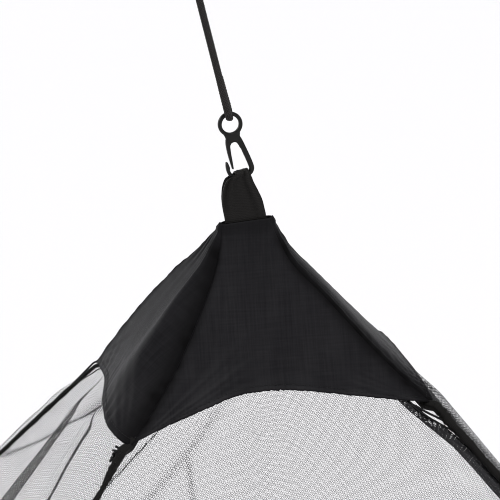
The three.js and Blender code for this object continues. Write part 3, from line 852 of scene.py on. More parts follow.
def bar_block(rows, rounded=True):
    """Points and faces of a bar along a line of (x, y, width), in the hook's plane with its depth third."""
    line = smooth_line(rows, HOOK_SPAN_STEPS)
    way = unit(np.gradient(line[:, :2], axis=0))
    side = np.stack([-way[:, 1], way[:, 0]], axis=1)
    sizes = np.ones(len(line))
    if rounded:
        reach = np.sqrt(1 - END_SIZES**2)[:, None]
        first = line[0] - np.hstack([way[0] * line[0, 2] / 2 * reach, 0 * reach])
        last = line[-1] + np.hstack([way[-1] * line[-1, 2] / 2 * reach[::-1], 0 * reach])
        line = np.vstack([first, line, last])
        count = len(END_SIZES)
        side = np.vstack([[side[0]] * count, side, [side[-1]] * count])
        sizes = np.concatenate([END_SIZES, sizes, END_SIZES[::-1]])
    rings = []
    for row, across, size in zip(line, side, sizes):
        section = bar_section(row[2] * size, HOOK_THICKNESS * mix(END_THINNEST, 1.0, size))
        rings.append(np.column_stack([row[:2] + section[:, :1] * across, section[:, 1]]))
    return np.array(rings), tube_faces(len(rings), HOOK_SECTION_SIDES)


def ring_block():
    turn = np.linspace(0, math.tau, RING_STEPS, endpoint=False)[:, None]
    section = bar_section(RING_OUTER - RING_INNER, HOOK_THICKNESS)
    reach = (RING_OUTER + RING_INNER) / 2 + section[:, 0]
    rings = np.stack([reach * np.cos(turn), reach * np.sin(turn), section[:, 1] + 0 * turn], axis=-1)
    quads = grid_faces(RING_STEPS + 1, HOOK_SECTION_SIDES, closed=True)[:, ::-1]
    return rings, (quads % (RING_STEPS * HOOK_SECTION_SIDES)).tolist()


def melted(points, faces):
    """One skin round overlapping closed shapes, evenly meshed and softened."""
    mesh = bpy.data.meshes.new("hook_bars")
    mesh.from_pydata(points.tolist(), [], faces)
    bars = new_object("hook_bars", mesh)
    remesh = bars.modifiers.new("melt", "REMESH")
    remesh.mode = "VOXEL"
    remesh.voxel_size = HOOK_VOXEL
    soften = bars.modifiers.new("soften", "SMOOTH")
    soften.factor = 0.5
    soften.iterations = HOOK_SMOOTHING
    graph = bpy.context.evaluated_depsgraph_get()
    skin = bpy.data.meshes.new_from_object(bars.evaluated_get(graph))
    bpy.data.objects.remove(bars)
    return skin


def vertex_vectors(mesh, key):
    values = np.empty(len(mesh.vertices) * 3, np.float32)
    mesh.vertices.foreach_get(key, values)
    return values.reshape(-1, 3).astype(float)


def build_hook():
    bars = [bar_block(rows) for rows in (HOOK_LEG, HOOK_TONGUE, HOOK_ARCH)]
    skin = melted(*joined([bar_block(HOOK_NECK, rounded=False), ring_block(), *bars]))
    place = vertex_vectors(skin, "co")
    parting = np.clip(1 - np.abs(place[:, 2:]) / PARTING_HALF_WIDTH, 0, 1)
    place = place + vertex_vectors(skin, "normal") * parting * PARTING_HEIGHT
    middle = leaning((0.0, 0.0, -RING_DISTANCE), CORD_LEAN)
    place = middle + leaning(place[:, [0, 2, 1]], HOOK_LEAN)
    skin.vertices.foreach_set("co", place.astype(np.float32).ravel())
    skin.update()
    place_piece("snap_hook_moulding", skin, PLASTIC, "snap_hook")


build_hook()

# Webbing loop: up the front, round the hook's bar and down the back, from the peak

WEBBING_COLUMNS = 64
WEBBING_SPAN_STEPS = 12
# Edges of the front leg from its foot to the bar, and half the gap between the legs
WEBBING_ROWS = table(
    "left_x left_z right_x right_z gap",
    (-0.0152, -0.0120, 0.0132, -0.0100, 0.0010),
    (-0.0157, 0.0014, 0.0134, 0.0040, 0.0010),
    (-0.0172, 0.0105, 0.0122, 0.0098, 0.0013),
    (-0.0179, 0.0176, 0.0104, 0.0164, 0.0018),
    (-0.0176, 0.0233, 0.0072, 0.0234, 0.0023),
    (-0.0164, 0.0280, 0.0040, 0.0296, 0.0031),
    (-0.0144, 0.0316, 0.0026, 0.0332, 0.00325),
)
CROWN_LEFT = (-0.0090, 0.0328)
CROWN_RIGHT = (0.0006, 0.0350)
CROWN_HALF_DEPTH = 0.0033
CROWN_HEIGHT = 0.003
CROWN_SQUARENESS = 0.62
CROWN_SPREAD = 0.0016
CROWN_ANGLES = np.radians([18, 42, 66, 90, 114, 138, 162])
# Soft creases down both legs: place across at the foot and at the bar, half width as a share, height
WEBBING_CREASES = table(
    "foot bar spread height",
    (0.10, 0.34, 0.060, 0.0012),
    (0.02, 0.20, 0.050, -0.0009),
    (0.88, 0.70, 0.075, 0.0010),
    (0.74, 0.58, 0.080, -0.0006),
    (0.45, 0.48, 0.120, 0.0003),
)
# Shares of a leg, from the bar down, between which its creases rise and are pressed flatter, and how far
LEG_RISE = (0.10, 0.30)
LEG_PRESS = (0.75, 0.95)
LEG_PRESSED = 0.8
# The selvedge's thickness as a share, and how wide it is as a share of the webbing
SELVEDGE = 0.72
SELVEDGE_WIDTH = 0.06


def webbing_edge(side, crown, outward):
    """One edge of the webbing, up the front, over the bar and down the back."""
    front = [(row[f"{side}_x"], -row["gap"], row[f"{side}_z"]) for row in WEBBING_ROWS]
    edge = list(front)
    for angle in CROWN_ANGLES:
        cosine = math.cos(angle)
        sine = math.sin(angle)
        y = -CROWN_HALF_DEPTH * math.copysign(abs(cosine) ** CROWN_SQUARENESS, cosine)
        wider = max(0.0, CROWN_SPREAD * (1 - 2 * sine))
        edge.append((crown[0] + outward * wider, y, crown[1] + CROWN_HEIGHT * sine**CROWN_SQUARENESS))
    edge += [(x, -y, z) for x, y, z in front[::-1]]
    return smooth_line(edge, WEBBING_SPAN_STEPS)


def build_webbing():
    left = webbing_edge("left", CROWN_LEFT, -1)
    right = webbing_edge("right", CROWN_RIGHT, 1)
    share = np.linspace(0, 1, WEBBING_COLUMNS)[None, :]
    # Rows run down the front as seen from outside, so they start behind and come over the bar
    grid = mix(left[::-1, None, :], right[::-1, None, :], share[..., None]) + PEAK
    leg = np.abs(np.linspace(-1, 1, len(left)))[:, None]
    height = 0.0
    for crease in WEBBING_CREASES:
        offset = share - mix(crease["bar"], crease["foot"], leg)
        height = height + crease["height"] * bell(offset, crease["spread"])
    held = ease(leg, *LEG_RISE) * (1 - LEG_PRESSED * ease(leg, *LEG_PRESS))
    grid = grid + grid_normals(grid) * (height * held)[..., None]
    along = lengths_along(grid[:, WEBBING_COLUMNS // 2])
    inner = ease(np.minimum(share, 1 - share), 0.0, SELVEDGE_WIDTH)
    points, faces = closed_sheet(grid, WEBBING_THICKNESS * mix(SELVEDGE, 1.0, inner) + 0 * leg)
    uv = np.stack(np.broadcast_arrays(share * WEBBING_WIDTH, along[:, None]), axis=-1)
    uv = np.concatenate([uv, uv])
    piece = new_piece("hanging_loop_webbing", points, faces, WEBBING, "webbing", "hanging_loop", uv)


build_webbing()

# Corner seams, from the rim to the cap's corner and on down to the floor hem


def rim_corner(corner):
    along = corner["rim_x"]
    depth = corner["side_y"] * RIM_HALF_DEPTH
    return PEAK + np.array([along * math.cos(RIM_TILT), depth, RIM_RISE + along * math.sin(RIM_TILT)])


def cap_corner(corner):
    return PEAK + np.array(corner["place"])


def base_corner(corner):
    x = math.copysign(BASE_WIDTH / 2, corner["rim_x"])
    y = corner["side_y"] * BASE_DEPTH / 2
    return PEAK + BASE_SHIFT + np.array([x, y, -BASE_DROP])


def seam_point(start, end, dip, share):
    chord = end - start
    inward = unit(np.cross(chord, np.cross(chord, UP)))
    return start + chord * share[..., None] + inward * dip[..., None]


def cap_seam(corner, share):
    dip = arch(share) * (corner["cap_sag"] + corner["neck"] * bell(share - NECK_AT, NECK_SPREAD))
    return seam_point(rim_corner(corner), cap_corner(corner), dip, share)


def net_seam(corner, share):
    return seam_point(cap_corner(corner), base_corner(corner), corner["net_sag"] * arch(share), share)


def seam_length(corner):
    return float(np.linalg.norm(base_corner(corner) - cap_corner(corner)))


def corners_of(panel):
    return CORNERS[panel["left"]], CORNERS[panel["right"]]


def outward_of(panel):
    left, right = corners_of(panel)
    return unit(np.cross(cap_corner(left) - rim_corner(left), cap_corner(right) - cap_corner(left)))


def corner_outward(index):
    """Away from the tent at a corner, halfway between its two panels."""
    beside = [outward_of(panel) for panel in PANELS if index in (panel["left"], panel["right"])]
    return unit(beside[0] + beside[1])


def plane_of(panel):
    """The directions across and down a panel's wall."""
    left, right = corners_of(panel)
    across = unit(base_corner(right) - base_corner(left))
    fall = base_corner(left) - cap_corner(left)
    return across, unit(fall - across * (fall @ across))


# Cap panels

CAP_ROWS = 110
CAP_COLUMNS = 150
COLUMN_CROWDING = 0.7
# The valley along a seam: depth, half width and where it starts below the rim, and the low ridge beside it
SEAM_DEPTH = 0.0019
SEAM_ROLL = 0.0014
SEAM_RISE = (0.001, 0.010)
SEAM_FLAT = 0.0022
RIDGE_HEIGHT = 0.00018
RIDGE_AWAY = 0.0040
RIDGE_SPREAD = 0.0022
# The turned hem: width, step, softness, uneven and thicker edge, and the groove that its stitches draw in
HEM_WIDTH = 0.0055
HEM_STEP = 0.0003
HEM_SOFTNESS = 0.0008
HEM_TEETH = 0.00042
HEM_TOOTH = 0.0045
TOOTH_SEED = 70
HEM_EDGE = 0.002
HEM_THICKER = 0.6
GROOVE_IN = 0.0012
GROOVE_SPREAD = 0.0010
# The doubled cloth along the rim ends between these distances from it
RIM_BAND = (0.0040, 0.0075)
# Painted shade in the creases: how the bands beside the seams widen from the rim to the hem, where they start
# below the rim and how patchy they are, and how dark and wide the painted shade along the hem and the rim is
CREASE_WIDEN = (0.8, 2.0)
CREASE_RISE = (0.002, 0.02)
CREASE_LEAST = 0.88
CREASE_SHADE_PATCH_SIZE = 0.02
CREASE_SEED = 81
HEM_SHADE = 0.6
HEM_SHADE_REACH = 0.0012
RIM_SHADE = 0.5
RIM_SHADE_REACH = 0.010
# How strongly each panel puckers: along its seams, along its hem, in wrinkles from the rim, in rays from
# its lower corners, and in broad swells. Band is how far the doubled cloth along the rim stands out, and
# crease the half widths of the painted shade beside its left and right seams.
CAP_PUCKERS = table(
    "panel seam hem rim ray swell band crease seed",
    ("front", 0.00025, 0.00025, 0.0004, 0.0005, 0.0006, 0.0005, (0.0032, 0.0042), 11),
    ("right", 0.00025, 0.00060, 0.0003, 0.0005, 0.0002, 0.0015, (0.0110, 0.0042), 12),
    ("back", 0.00030, 0.00045, 0.0006, 0.0006, 0.0006, 0.0005, (0.0030, 0.0042), 13),
    ("left", 0.00030, 0.00040, 0.0005, 0.0004, 0.0003, 0.0015, (0.0030, 0.0060), 14),
)
# The waves of each pucker: which strength they have, their size, how slowly they run the second way, the
# distance over which they die out, the distances between which they rise, and what is added to the seed
PUCKER_WAVES = table(
    "kind strength size slow fade start full seed",
    ("seam", "seam", 0.011, 0.25, 0.008, -1.0, 0.0, 0),
    ("hem", "hem", 0.0062, 0.15, 0.012, 0.0, 0.003, 20),
    ("rim", "rim", 0.16, 0.4, 0.06, 0.008, 0.02, 40),
    ("left_ray", "ray", 0.24, 0.0, 0.05, 0.003, 0.02, 50),
    ("right_ray", "ray", 0.24, 0.0, 0.05, 0.003, 0.02, 55),
    ("swell", "swell", 0.045, 0.35, math.inf, 0.02, 0.06, 60),
)
HEM_SLANT = 0.7
RAY_START = 0.004
HEM_CURVES = {name: smooth_line(points) for name, points in HEMS.items()}


def hem_share(panel, across):
    curve = HEM_CURVES[panel["name"]]
    return np.interp(across, curve[:, 0], curve[:, 1])


def cap_point(panel, across, down):
    left, right = (cap_seam(corner, down) for corner in corners_of(panel))
    height = panel["cap_bulge"] * np.sin(math.pi / 2 * down)
    for fold in picked(CAP_FOLDS, "panel", panel["name"]):
        offset = across - mix(fold["top"], fold["foot"], down)
        height = height + fold["height"] * np.sin(math.pi * down) * bell(offset, fold["spread"])
    height = height * arch(across ** (math.log(0.5) / math.log(panel["cap_crest"])))
    return mix(left, right, across[..., None]) + height[..., None] * outward_of(panel)


def cap_relief(pucker, from_left, from_right, from_rim, from_hem):
    """Height of the cap's small folds, hems and puckers above its smooth form."""
    from_seam = np.minimum(from_left, from_right)
    # The two ways along which each kind of wave runs, and the distances over which it dies out and rises
    grounds = {
        "seam": (from_rim, from_left, from_seam, from_seam),
        "hem": (from_left + HEM_SLANT * from_hem, from_hem, from_hem, from_hem),
        "rim": (from_left / (from_left + from_right), from_rim, from_rim, from_rim),
        "swell": (from_left, from_rim, from_rim, from_rim),
    }
    for kind, away in (("left_ray", from_left), ("right_ray", from_right)):
        grounds[kind] = (np.arctan2(away, from_hem + RAY_START), away, np.hypot(away, from_hem), away)
    height = RIDGE_HEIGHT * bell(from_seam - RIDGE_AWAY, RIDGE_SPREAD)
    height = height + HEM_STEP * (1 - ease(from_hem, HEM_WIDTH - HEM_SOFTNESS, HEM_WIDTH + HEM_SOFTNESS))
    height = height - HEM_STEP * bell(from_hem - HEM_WIDTH + GROOVE_IN, GROOVE_SPREAD)
    height = height + pucker["band"] * (1 - ease(from_rim, *RIM_BAND))
    for waves in PUCKER_WAVES:
        x, y, fading, rising = grounds[waves["kind"]]
        wave = wander(x, y * waves["slow"], waves["size"], pucker["seed"] + waves["seed"])
        reach = np.exp(-fading / waves["fade"]) * ease(rising, waves["start"], waves["full"])
        height = height + pucker[waves["strength"]] * wave * reach
    return height * ease(from_seam, 0.0, SEAM_FLAT)


def cap_grid(panel):
    """Points of a cap panel, its thickness, and how much shade is painted on it there."""
    pucker = picked(CAP_PUCKERS, "panel", panel["name"])[0]
    left, right = corners_of(panel)
    length = np.linalg.norm(cap_corner(left) - rim_corner(left))
    edge = np.linalg.norm(cap_corner(right) - cap_corner(left))
    step = np.linspace(0, 1, CAP_COLUMNS)
    share = mix(step, 0.5 - 0.5 * np.cos(math.pi * step), COLUMN_CROWDING)[None, :]
    teeth = HEM_TEETH * wander(share * edge, 0.0, HEM_TOOTH, pucker["seed"] + TOOTH_SEED)
    hem = hem_share(panel, share) + teeth * arch(share) / length
    down = np.linspace(0, 1, CAP_ROWS)[:, None] * hem
    width = np.linalg.norm(cap_seam(right, down) - cap_seam(left, down), axis=-1)
    apart = (share * width, (1 - share) * width)
    from_rim = down * length
    from_hem = (hem - down) * length
    grid = cap_point(panel, share + 0 * down, down)
    grid = grid + grid_normals(grid) * cap_relief(pucker, *apart, from_rim, from_hem)[..., None]
    depth = SEAM_DEPTH * ease(from_rim, *SEAM_RISE)
    for index, away in zip((panel["left"], panel["right"]), apart):
        grid = grid - corner_outward(index) * (depth * bell(away, SEAM_ROLL))[..., None]
    thickness = CAP_THICKNESS * (1 + HEM_THICKER * (1 - ease(from_hem, 0.0, HEM_EDGE)))
    # Painted shade: darker bands beside the seams, along the hem and under the rim, made a little patchy
    widen = mix(*CREASE_WIDEN, down)
    crease = np.maximum(*[bell(away, spread * widen) for away, spread in zip(apart, pucker["crease"])])
    crease = np.maximum(crease, HEM_SHADE * bell(from_hem, HEM_SHADE_REACH)) * ease(from_rim, *CREASE_RISE)
    crease = np.maximum(crease, RIM_SHADE * bell(from_rim, RIM_SHADE_REACH))
    wear_and_shade_patches = mix(CREASE_LEAST, 1.0, wander(from_rim, apart[0], CREASE_SHADE_PATCH_SIZE, CREASE_SEED) ** 2)
    return grid, thickness, np.clip(crease * wear_and_shade_patches, 0, 1)


STITCH_LENGTH = 0.0026
STITCH_GAP = 0.0008
STITCH_RADIUS = 0.00018
STITCH_SIDES = 6
STITCH_STEPS = 5
# How high a stitch arches and how deep its ends sink, in radii, and the columns beside the seams without any
STITCH_ARCH = 2.0
STITCH_SINK = 0.9
STITCH_MARGIN = 3


def stitch_blocks(line, normals):
    """Stitches along a line on a surface, each a short arc of thread that dips in at both ends."""
    length = lengths_along(line)
    share = np.linspace(0, 1, STITCH_STEPS)
    lift = STITCH_RADIUS * (STITCH_ARCH * arch(share) - STITCH_SINK)[:, None]
    blocks = []
    for start in np.arange(STITCH_GAP, length[-1] - STITCH_LENGTH, STITCH_LENGTH + STITCH_GAP):
        places = start + share * STITCH_LENGTH
        up = places_on(normals, length, places)
        path = places_on(line, length, places) + up * lift
        blocks.append(rod(path, STITCH_RADIUS, STITCH_SIDES, np.cross(up[0], path[-1] - path[0])))
    return blocks


def build_cap_panel(panel):
    name = f"cap_{panel['name']}"
    grid, thickness, crease = cap_grid(panel)
    uv = np.stack([(grid - PEAK) @ way for way in plane_of(panel)], axis=-1)
    uv = np.concatenate([uv, uv])
    # The painted shade goes on both faces of the cloth
    crease = np.concatenate([crease, crease])
    points, faces = closed_sheet(grid, thickness)
    piece = new_piece(f"{name}_cloth", points, faces, CAP, "cap", name, uv, crease=crease)
    columns = np.arange(STITCH_MARGIN, CAP_COLUMNS - STITCH_MARGIN)
    from_hem = np.linalg.norm(grid - grid[-1:], axis=-1)[:, columns]
    rows = np.argmin(np.abs(from_hem - (HEM_WIDTH - GROOVE_IN)), axis=0)
    up = grid_normals(grid)[rows, columns]
    line = grid[rows, columns] + up * thickness[rows, columns][:, None] / 2
    stitches = new_piece(f"{name}_stitches", *joined(stitch_blocks(line, up)), THREAD, "cap")


for panel in PANELS:
    build_cap_panel(panel)

# Net walls

NET_ROWS = 140
NET_COLUMNS = 110
PLEAT_COLUMNS = 26
ROW_CROWDING = 2.2
# Columns are spaced out on this many samples, and closer together over this many half widths of a pleat,
# at least the one share of the wall and the other at the floor
SHARE_SAMPLES = 1600
PLEAT_REACH = 2.2
PLEAT_LEAST = 0.004
PLEAT_AT_FLOOR = 0.15
NET_TUCK = 0.008
NET_HEM = 0.015
NET_HEM_GAP = 0.0012
NET_HEM_ROWS = (0.0005, NET_HEM / 2, NET_HEM)
FOLD_START = 0.02
FOLD_FADE = 0.7
FOLD_SLOPE = 3
# Broad drape: its height, the size of its waves, how slowly they run down, where they rise, what they lose
DRAPE_HEIGHT = 0.012
DRAPE_SIZE = 0.17
DRAPE_SLOW = 0.3
DRAPE_RISE = (0.12, 0.7)
DRAPE_LOSS = 0.6
# A pleat that doubles back turns at this share of its half width, where its threads crowd
FOLD_TURN = 0.53
FOLD_TURN_SPREAD = 0.15
FOLD_TURN_BUNCH = 2.6
FOLD_DOUBLES = (1.0, 2.0)
# How far a pleat's layers lie apart, least, most and as a share of its half width, and how fast they part
LAYER_LEAST = 0.0004
LAYER_MOST = 0.0022
LAYER_SHARE = 0.12
LAYER_SLOPE = 1.6
LAYER_REACH = 5
BUNCH_REACH = 1.3
SEAM_BUNCH = 0.8
SEAM_BUNCH_REACH = 0.004
CLOSE_FADE = (0.08, 0.35)
# Ribs of a gathered band: their height, how far they waver, how far the threads part in worn spots and where
# that dies out, and how thin the threads are on the bare net beside it
RIB_HEIGHT = 0.0009
RIB_REACH = 1.2
RIB_WAVER = 2
RIB_WAVER_SIZE = 0.02
RIB_WAVER_SEED = 77
RIB_WEAR = 4.5
RIB_WEAR_FADE = (0.01, 0.05)
RIB_WEAR_SIZE = 0.006
RIB_WEAR_SEED = 78
BARE = -0.96
BARE_START = 0.8
BARE_FULL = 1.1


def crowded(count):
    """Shares from 0 to 1, closer together at the start."""
    return np.linspace(0, 1, count) ** ROW_CROWDING


def net_fold_height(panel, across, down):
    height = 0.0
    for fold in picked(NET_FOLDS, "panel", panel["name"]):
        reach = np.minimum(1, down / fold["down"])
        middle = mix(fold["top"], fold["foot"], reach)
        rise = np.minimum(1, down / FOLD_START) * (1 - reach) ** FOLD_FADE
        height = height + fold["height"] * rise * bell(across - middle, fold["spread"])
    return height * np.minimum(1, FOLD_SLOPE * arch(np.clip(across, 0, 1)))


def net_point(panel, across, down, lift):
    left, right = corners_of(panel)
    outward = outward_of(panel)
    inside = np.clip(across, 0, 1)
    point = mix(net_seam(left, down), net_seam(right, down), across[..., None])
    hem = cap_point(panel, inside, hem_share(panel, inside)) - NET_BEHIND_CAP * outward
    hem_offset = hem - mix(cap_corner(left), cap_corner(right), inside[..., None])
    drape = DRAPE_HEIGHT * wander(inside, down * DRAPE_SLOW, DRAPE_SIZE, panel["seed"])
    drape = drape * ease(down, *DRAPE_RISE) * (1 - DRAPE_LOSS * down)
    height = net_fold_height(panel, across, down) + lift
    height = height + (drape - panel["net_sag"] * arch(down)) * arch(inside)
    return point + hem_offset * (1 - down)[..., None] + outward * height[..., None]


def pleat_line(pleat, down):
    """Middle of a pleat across the wall and its half width, for each row."""
    return np.interp(down, *zip(*pleat["path"])), np.interp(down, *zip(*pleat["width"]))


def net_shares(down, row_width, pleats):
    """Places of the columns along each row, closer together in the pleats."""
    fine = np.linspace(0, 1, SHARE_SAMPLES)
    count = NET_COLUMNS + PLEAT_COLUMNS * len(pleats)
    shares = []
    for row, width in zip(down, row_width):
        density = np.full_like(fine, NET_COLUMNS)
        for pleat in pleats:
            middle, half = pleat_line(pleat, row)
            spread = mix(PLEAT_REACH * half / width, PLEAT_AT_FLOOR, ease(row, pleat["fade"][1], 1.0))
            spread = max(PLEAT_LEAST, spread)
            density = density + PLEAT_COLUMNS / (spread * math.sqrt(math.pi)) * bell(fine - middle, spread)
        total = np.concatenate([[0], np.cumsum((density[1:] + density[:-1]) / 2)])
        shares.append(np.interp(np.linspace(0, total[-1], count), total, fine))
    return np.array(shares)


def net_grid(panel):
    """Points of a wall, where each lies across it and lay when flat, and how much its threads bunch there."""
    pleats = picked(NET_PLEATS, "panel", panel["name"])
    left, right = corners_of(panel)
    rows = crowded(NET_ROWS)
    row_width = np.linalg.norm(net_seam(right, rows) - net_seam(left, rows), axis=-1)
    share = net_shares(rows, row_width, pleats)
    row_width = row_width[:, None]
    down = rows[:, None] + 0 * share
    place = share * row_width
    moved = place.copy()
    lift = np.zeros_like(place)
    bunch = panel["close"] * (1 - ease(down, *CLOSE_FADE))
    bunch = bunch + SEAM_BUNCH * bell(np.minimum(share, 1 - share) * row_width, SEAM_BUNCH_REACH)
    for pleat in pleats:
        middle, half = (value[:, None] for value in pleat_line(pleat, rows))
        strength = pleat["fold"] * ease(down, *pleat["rise"]) * (1 - ease(down, *pleat["fade"]))
        held = np.minimum(1, strength)
        offset = place - middle * row_width
        moved -= strength * offset * bell(offset, half)
        layer = np.minimum(LAYER_MOST, LAYER_LEAST + LAYER_SHARE * half) * held
        lift += layer * np.tanh(LAYER_SLOPE * offset / half) * bell(offset, LAYER_REACH * half)
        turn = bell(np.abs(offset) / half - FOLD_TURN, FOLD_TURN_SPREAD) * ease(strength, *FOLD_DOUBLES)
        reach = pleat.get("reach", BUNCH_REACH) * half
        bunch += pleat["bunch"] * held * bell(offset, reach) + FOLD_TURN_BUNCH * turn
        if "ribs" in pleat:
            waver = RIB_WAVER * wander(down, offset, RIB_WAVER_SIZE, RIB_WAVER_SEED)
            rib = np.sin(math.tau * offset / pleat["ribs"] + waver)
            lift += RIB_HEIGHT * rib * held * bell(offset, RIB_REACH * half)
            wear_and_shade_patches = wander(down * seam_length(right), offset, RIB_WEAR_SIZE, RIB_WEAR_SEED)
            wear_and_shade_patches = np.maximum(0, wear_and_shade_patches) * (1 - ease(down, *RIB_WEAR_FADE))
            bunch -= RIB_WEAR * wear_and_shade_patches * held * bell(offset, half)
            bare = ease(offset, BARE_START * half, BARE_FULL * half)
            bare = bare * (1 - ease(down, BARE_START * pleat["bare"], pleat["bare"]))
            bunch = mix(bunch, BARE, bare)
    across = moved / row_width
    return net_point(panel, across, down, lift), across, place, bunch


def with_tuck_and_hem(panel, grid, across, place, bunch):
    """Adds the edge tucked up behind the cap's hem, and the floor hem turned up inside."""
    outward = outward_of(panel)
    left = CORNERS[panel["left"]]
    seam = np.linalg.norm(cap_corner(left) - rim_corner(left))
    inside = np.clip(across[0], 0, 1)
    tuck = cap_point(panel, inside, hem_share(panel, inside) - NET_TUCK / seam) - NET_BEHIND_CAP * outward
    fall = plane_of(panel)[1]
    turned = [grid[-1] - outward * NET_HEM_GAP - fall * rise for rise in NET_HEM_ROWS]
    grid = np.concatenate([tuck[None], grid, turned])
    values = []
    for rows in (place, bunch):
        last = np.repeat(rows[-1:], len(NET_HEM_ROWS), axis=0)
        values.append(np.concatenate([rows[:1], rows, last]))
    return grid, *values


def net_map(panel, grid, place):
    """Flat places on the net, along each row and down the wall, turned to its thread line.

    A row is as long as its points are apart, or as they lay when flat where a pleat draws them together.
    """
    steps = np.maximum(np.linalg.norm(np.diff(grid, axis=1), axis=-1), np.diff(place, axis=1))
    along = np.concatenate([np.zeros((len(grid), 1)), np.cumsum(steps, axis=1)], axis=1)
    middle = grid.shape[1] // 2
    across, fall = plane_of(panel)
    start = (grid[:, middle] - PEAK) @ across
    along = along - along[:, middle : middle + 1] + start[:, None]
    down = (grid - PEAK) @ fall
    turn = math.radians(panel["turn"])
    rows = along * math.cos(turn) + down * math.sin(turn)
    return np.stack([rows, down * math.cos(turn) - along * math.sin(turn)], axis=-1)


def build_net_wall(panel):
    name = f"net_{panel['name']}"
    grid, place, bunch = with_tuck_and_hem(panel, *net_grid(panel))
    faces = grid_faces(*grid.shape[:2]).tolist()
    uv = net_map(panel, grid, place)
    piece = new_piece(f"{name}_mesh", grid, faces, NET, "net", name, uv, bunch=bunch)


# Seam edges: the strip of doubled net that stands out of each corner seam

FLANGE_ROWS = 200
FLANGE_COLUMNS = 7
FLANGE_START = 0.004
EDGE_RISE = 0.075
EDGE_UNEVEN = 0.22
EDGE_UNEVEN_SIZE = 0.05
EDGE_SEED = 90
FLUTTER = 0.0016
FLUTTER_SIZE = 0.03
FLUTTER_SLANT = 0.004
FLUTTER_GROWTH = 1.5
FLUTTER_SEED = 95
# How much the threads bunch all over, and further along the outer edge
EDGE_BUNCH = 1.0
EDGE_BUNCH_OUTSIDE = 3.0
EDGE_BUNCH_SPREAD = 0.14


def build_flange(index):
    corner = CORNERS[index]
    share = mix(FLANGE_START, 1.0, crowded(FLANGE_ROWS))[:, None]
    step = np.linspace(0, 1, FLANGE_COLUMNS)[None, :]
    distance = share * seam_length(corner)
    uneven = 1 + EDGE_UNEVEN * wander(distance, 0.0, EDGE_UNEVEN_SIZE, index + EDGE_SEED)
    width = TAPES[index]["edge"] * uneven * ease(distance, 0.0, EDGE_RISE)
    outward = corner_outward(index)
    side = unit(np.cross(base_corner(corner) - cap_corner(corner), outward))
    flutter = FLUTTER * wander(distance, step * FLUTTER_SLANT, FLUTTER_SIZE, index + FLUTTER_SEED)
    flutter = flutter * step**FLUTTER_GROWTH
    grid = net_seam(corner, share + 0 * step)
    grid = grid + outward * (width * step)[..., None] + side * flutter[..., None]
    bunch = EDGE_BUNCH + EDGE_BUNCH_OUTSIDE * bell(step - 1, EDGE_BUNCH_SPREAD) + 0 * share
    uv = np.stack(np.broadcast_arrays(width * step, distance), axis=-1)
    faces = grid_faces(FLANGE_ROWS, FLANGE_COLUMNS).tolist()
    return new_piece(f"net_edge_{corner['name']}", grid, faces, NET, "net", uv=uv, bunch=bunch)


flanges = [build_flange(index) for index in range(len(CORNERS))]
for panel in PANELS:
    build_net_wall(panel)

# Corner tapes: each rolled round its seam, widest where it leaves the cap, with ends frayed in places

TAPE_START = -0.008
TAPE_TURNS = 1.35
TAPE_ROWS = 300
TAPE_COLUMNS = 30
TAPE_TWIST = 0.33
TAPE_TIGHTEN = 0.24
TAPE_SPARE = 1.1
TAPE_INSIDE = (-0.003, 0.005)
TAPE_UNDER = 0.002
TAPE_IN_REACH = 0.035
TAPE_LUMP = 0.13
TAPE_LUMP_RISE = (0.002, 0.012)
# The lumps' waves: their size, how far they run round one turn, and what is added to the corner for a seed
TAPE_WAVES = table("size round seed", (0.018, 0.010, 30), (0.004, 0.008, 50))
# Loose strands beside a tape, where the rolled seam splits below the cap: the panel that each one lies on,
# how far to the right along its hem and out from the seam it starts, its radius, and where it joins the tape
STRANDS = table(
    "corner panel along out radius joins",
    (3, 3, 0.0015, 0.0010, 0.00075, 0.060),
    (3, 3, 0.0165, 0.0, 0.00045, 0.034),
    (3, 3, 0.0060, 0.0004, 0.00030, 0.026),
    (2, 2, 0.0050, 0.0006, 0.00050, 0.040),
    (1, 0, -0.0140, 0.0, 0.00085, 0.026),
    (1, 0, -0.0165, 0.0003, 0.00060, 0.040),
)
STRAND_SIDES = 8
STRAND_STEPS = 40
STRAND_INSIDE = (-0.002, 0.004)
# Frayed threads of a tape: how many, down to where, how far round from its side, their length and radius
FRAYS = table(
    "corner count reach spread length radius seed",
    (0, 30, 0.034, math.pi, 0.0040, 0.00014, 5),
    (0, 24, 0.012, 1.1, 0.0030, 0.00085, 8),
    (1, 14, 0.040, math.pi, 0.0028, 0.00016, 6),
    (3, 16, 0.030, math.pi, 0.0024, 0.00014, 7),
)
FRAY_SIDES = 5
FRAY_STEPS = 7
FRAY_START = 0.003
FRAY_ROOT = 0.85
FRAY_LEAN = (-0.4, 1.6)
FRAY_SWAY = (-0.6, 0.6)
FRAY_LENGTHS = (0.3, 1.0)
# Second points give the way along: this share down a seam, and this much further down a tape
SEAM_NEXT = 0.01
TAPE_NEXT = 1.02


def tape_radius(index, distance):
    tape = TAPES[index]
    return mix(tape["top"], tape["foot"], ease(distance, 0.0, tape["taper"]))


def seam_line(index, distance):
    """A corner's seam at distances from the cap's corner, and on up inside the cap below 0."""
    corner = CORNERS[index]
    share = np.maximum(distance, 0) / seam_length(corner)
    first = unit(net_seam(corner, np.array(SEAM_NEXT)) - cap_corner(corner))
    return net_seam(corner, share) + first * np.minimum(distance, 0)[:, None]


def tape_line(index, distance):
    """The middle of a corner's tape, which comes out from under the cap and lies in from its seam."""
    under = (tape_radius(index, distance) + TAPE_UNDER) * (1 - ease(distance, *TAPE_INSIDE))
    along = TAPES[index]["inset"] * np.exp(-np.maximum(distance, 0) / TAPE_IN_REACH)
    across = plane_of(PANELS[index])[0]
    return seam_line(index, distance) - corner_outward(index) * under[:, None] + across * along[:, None]


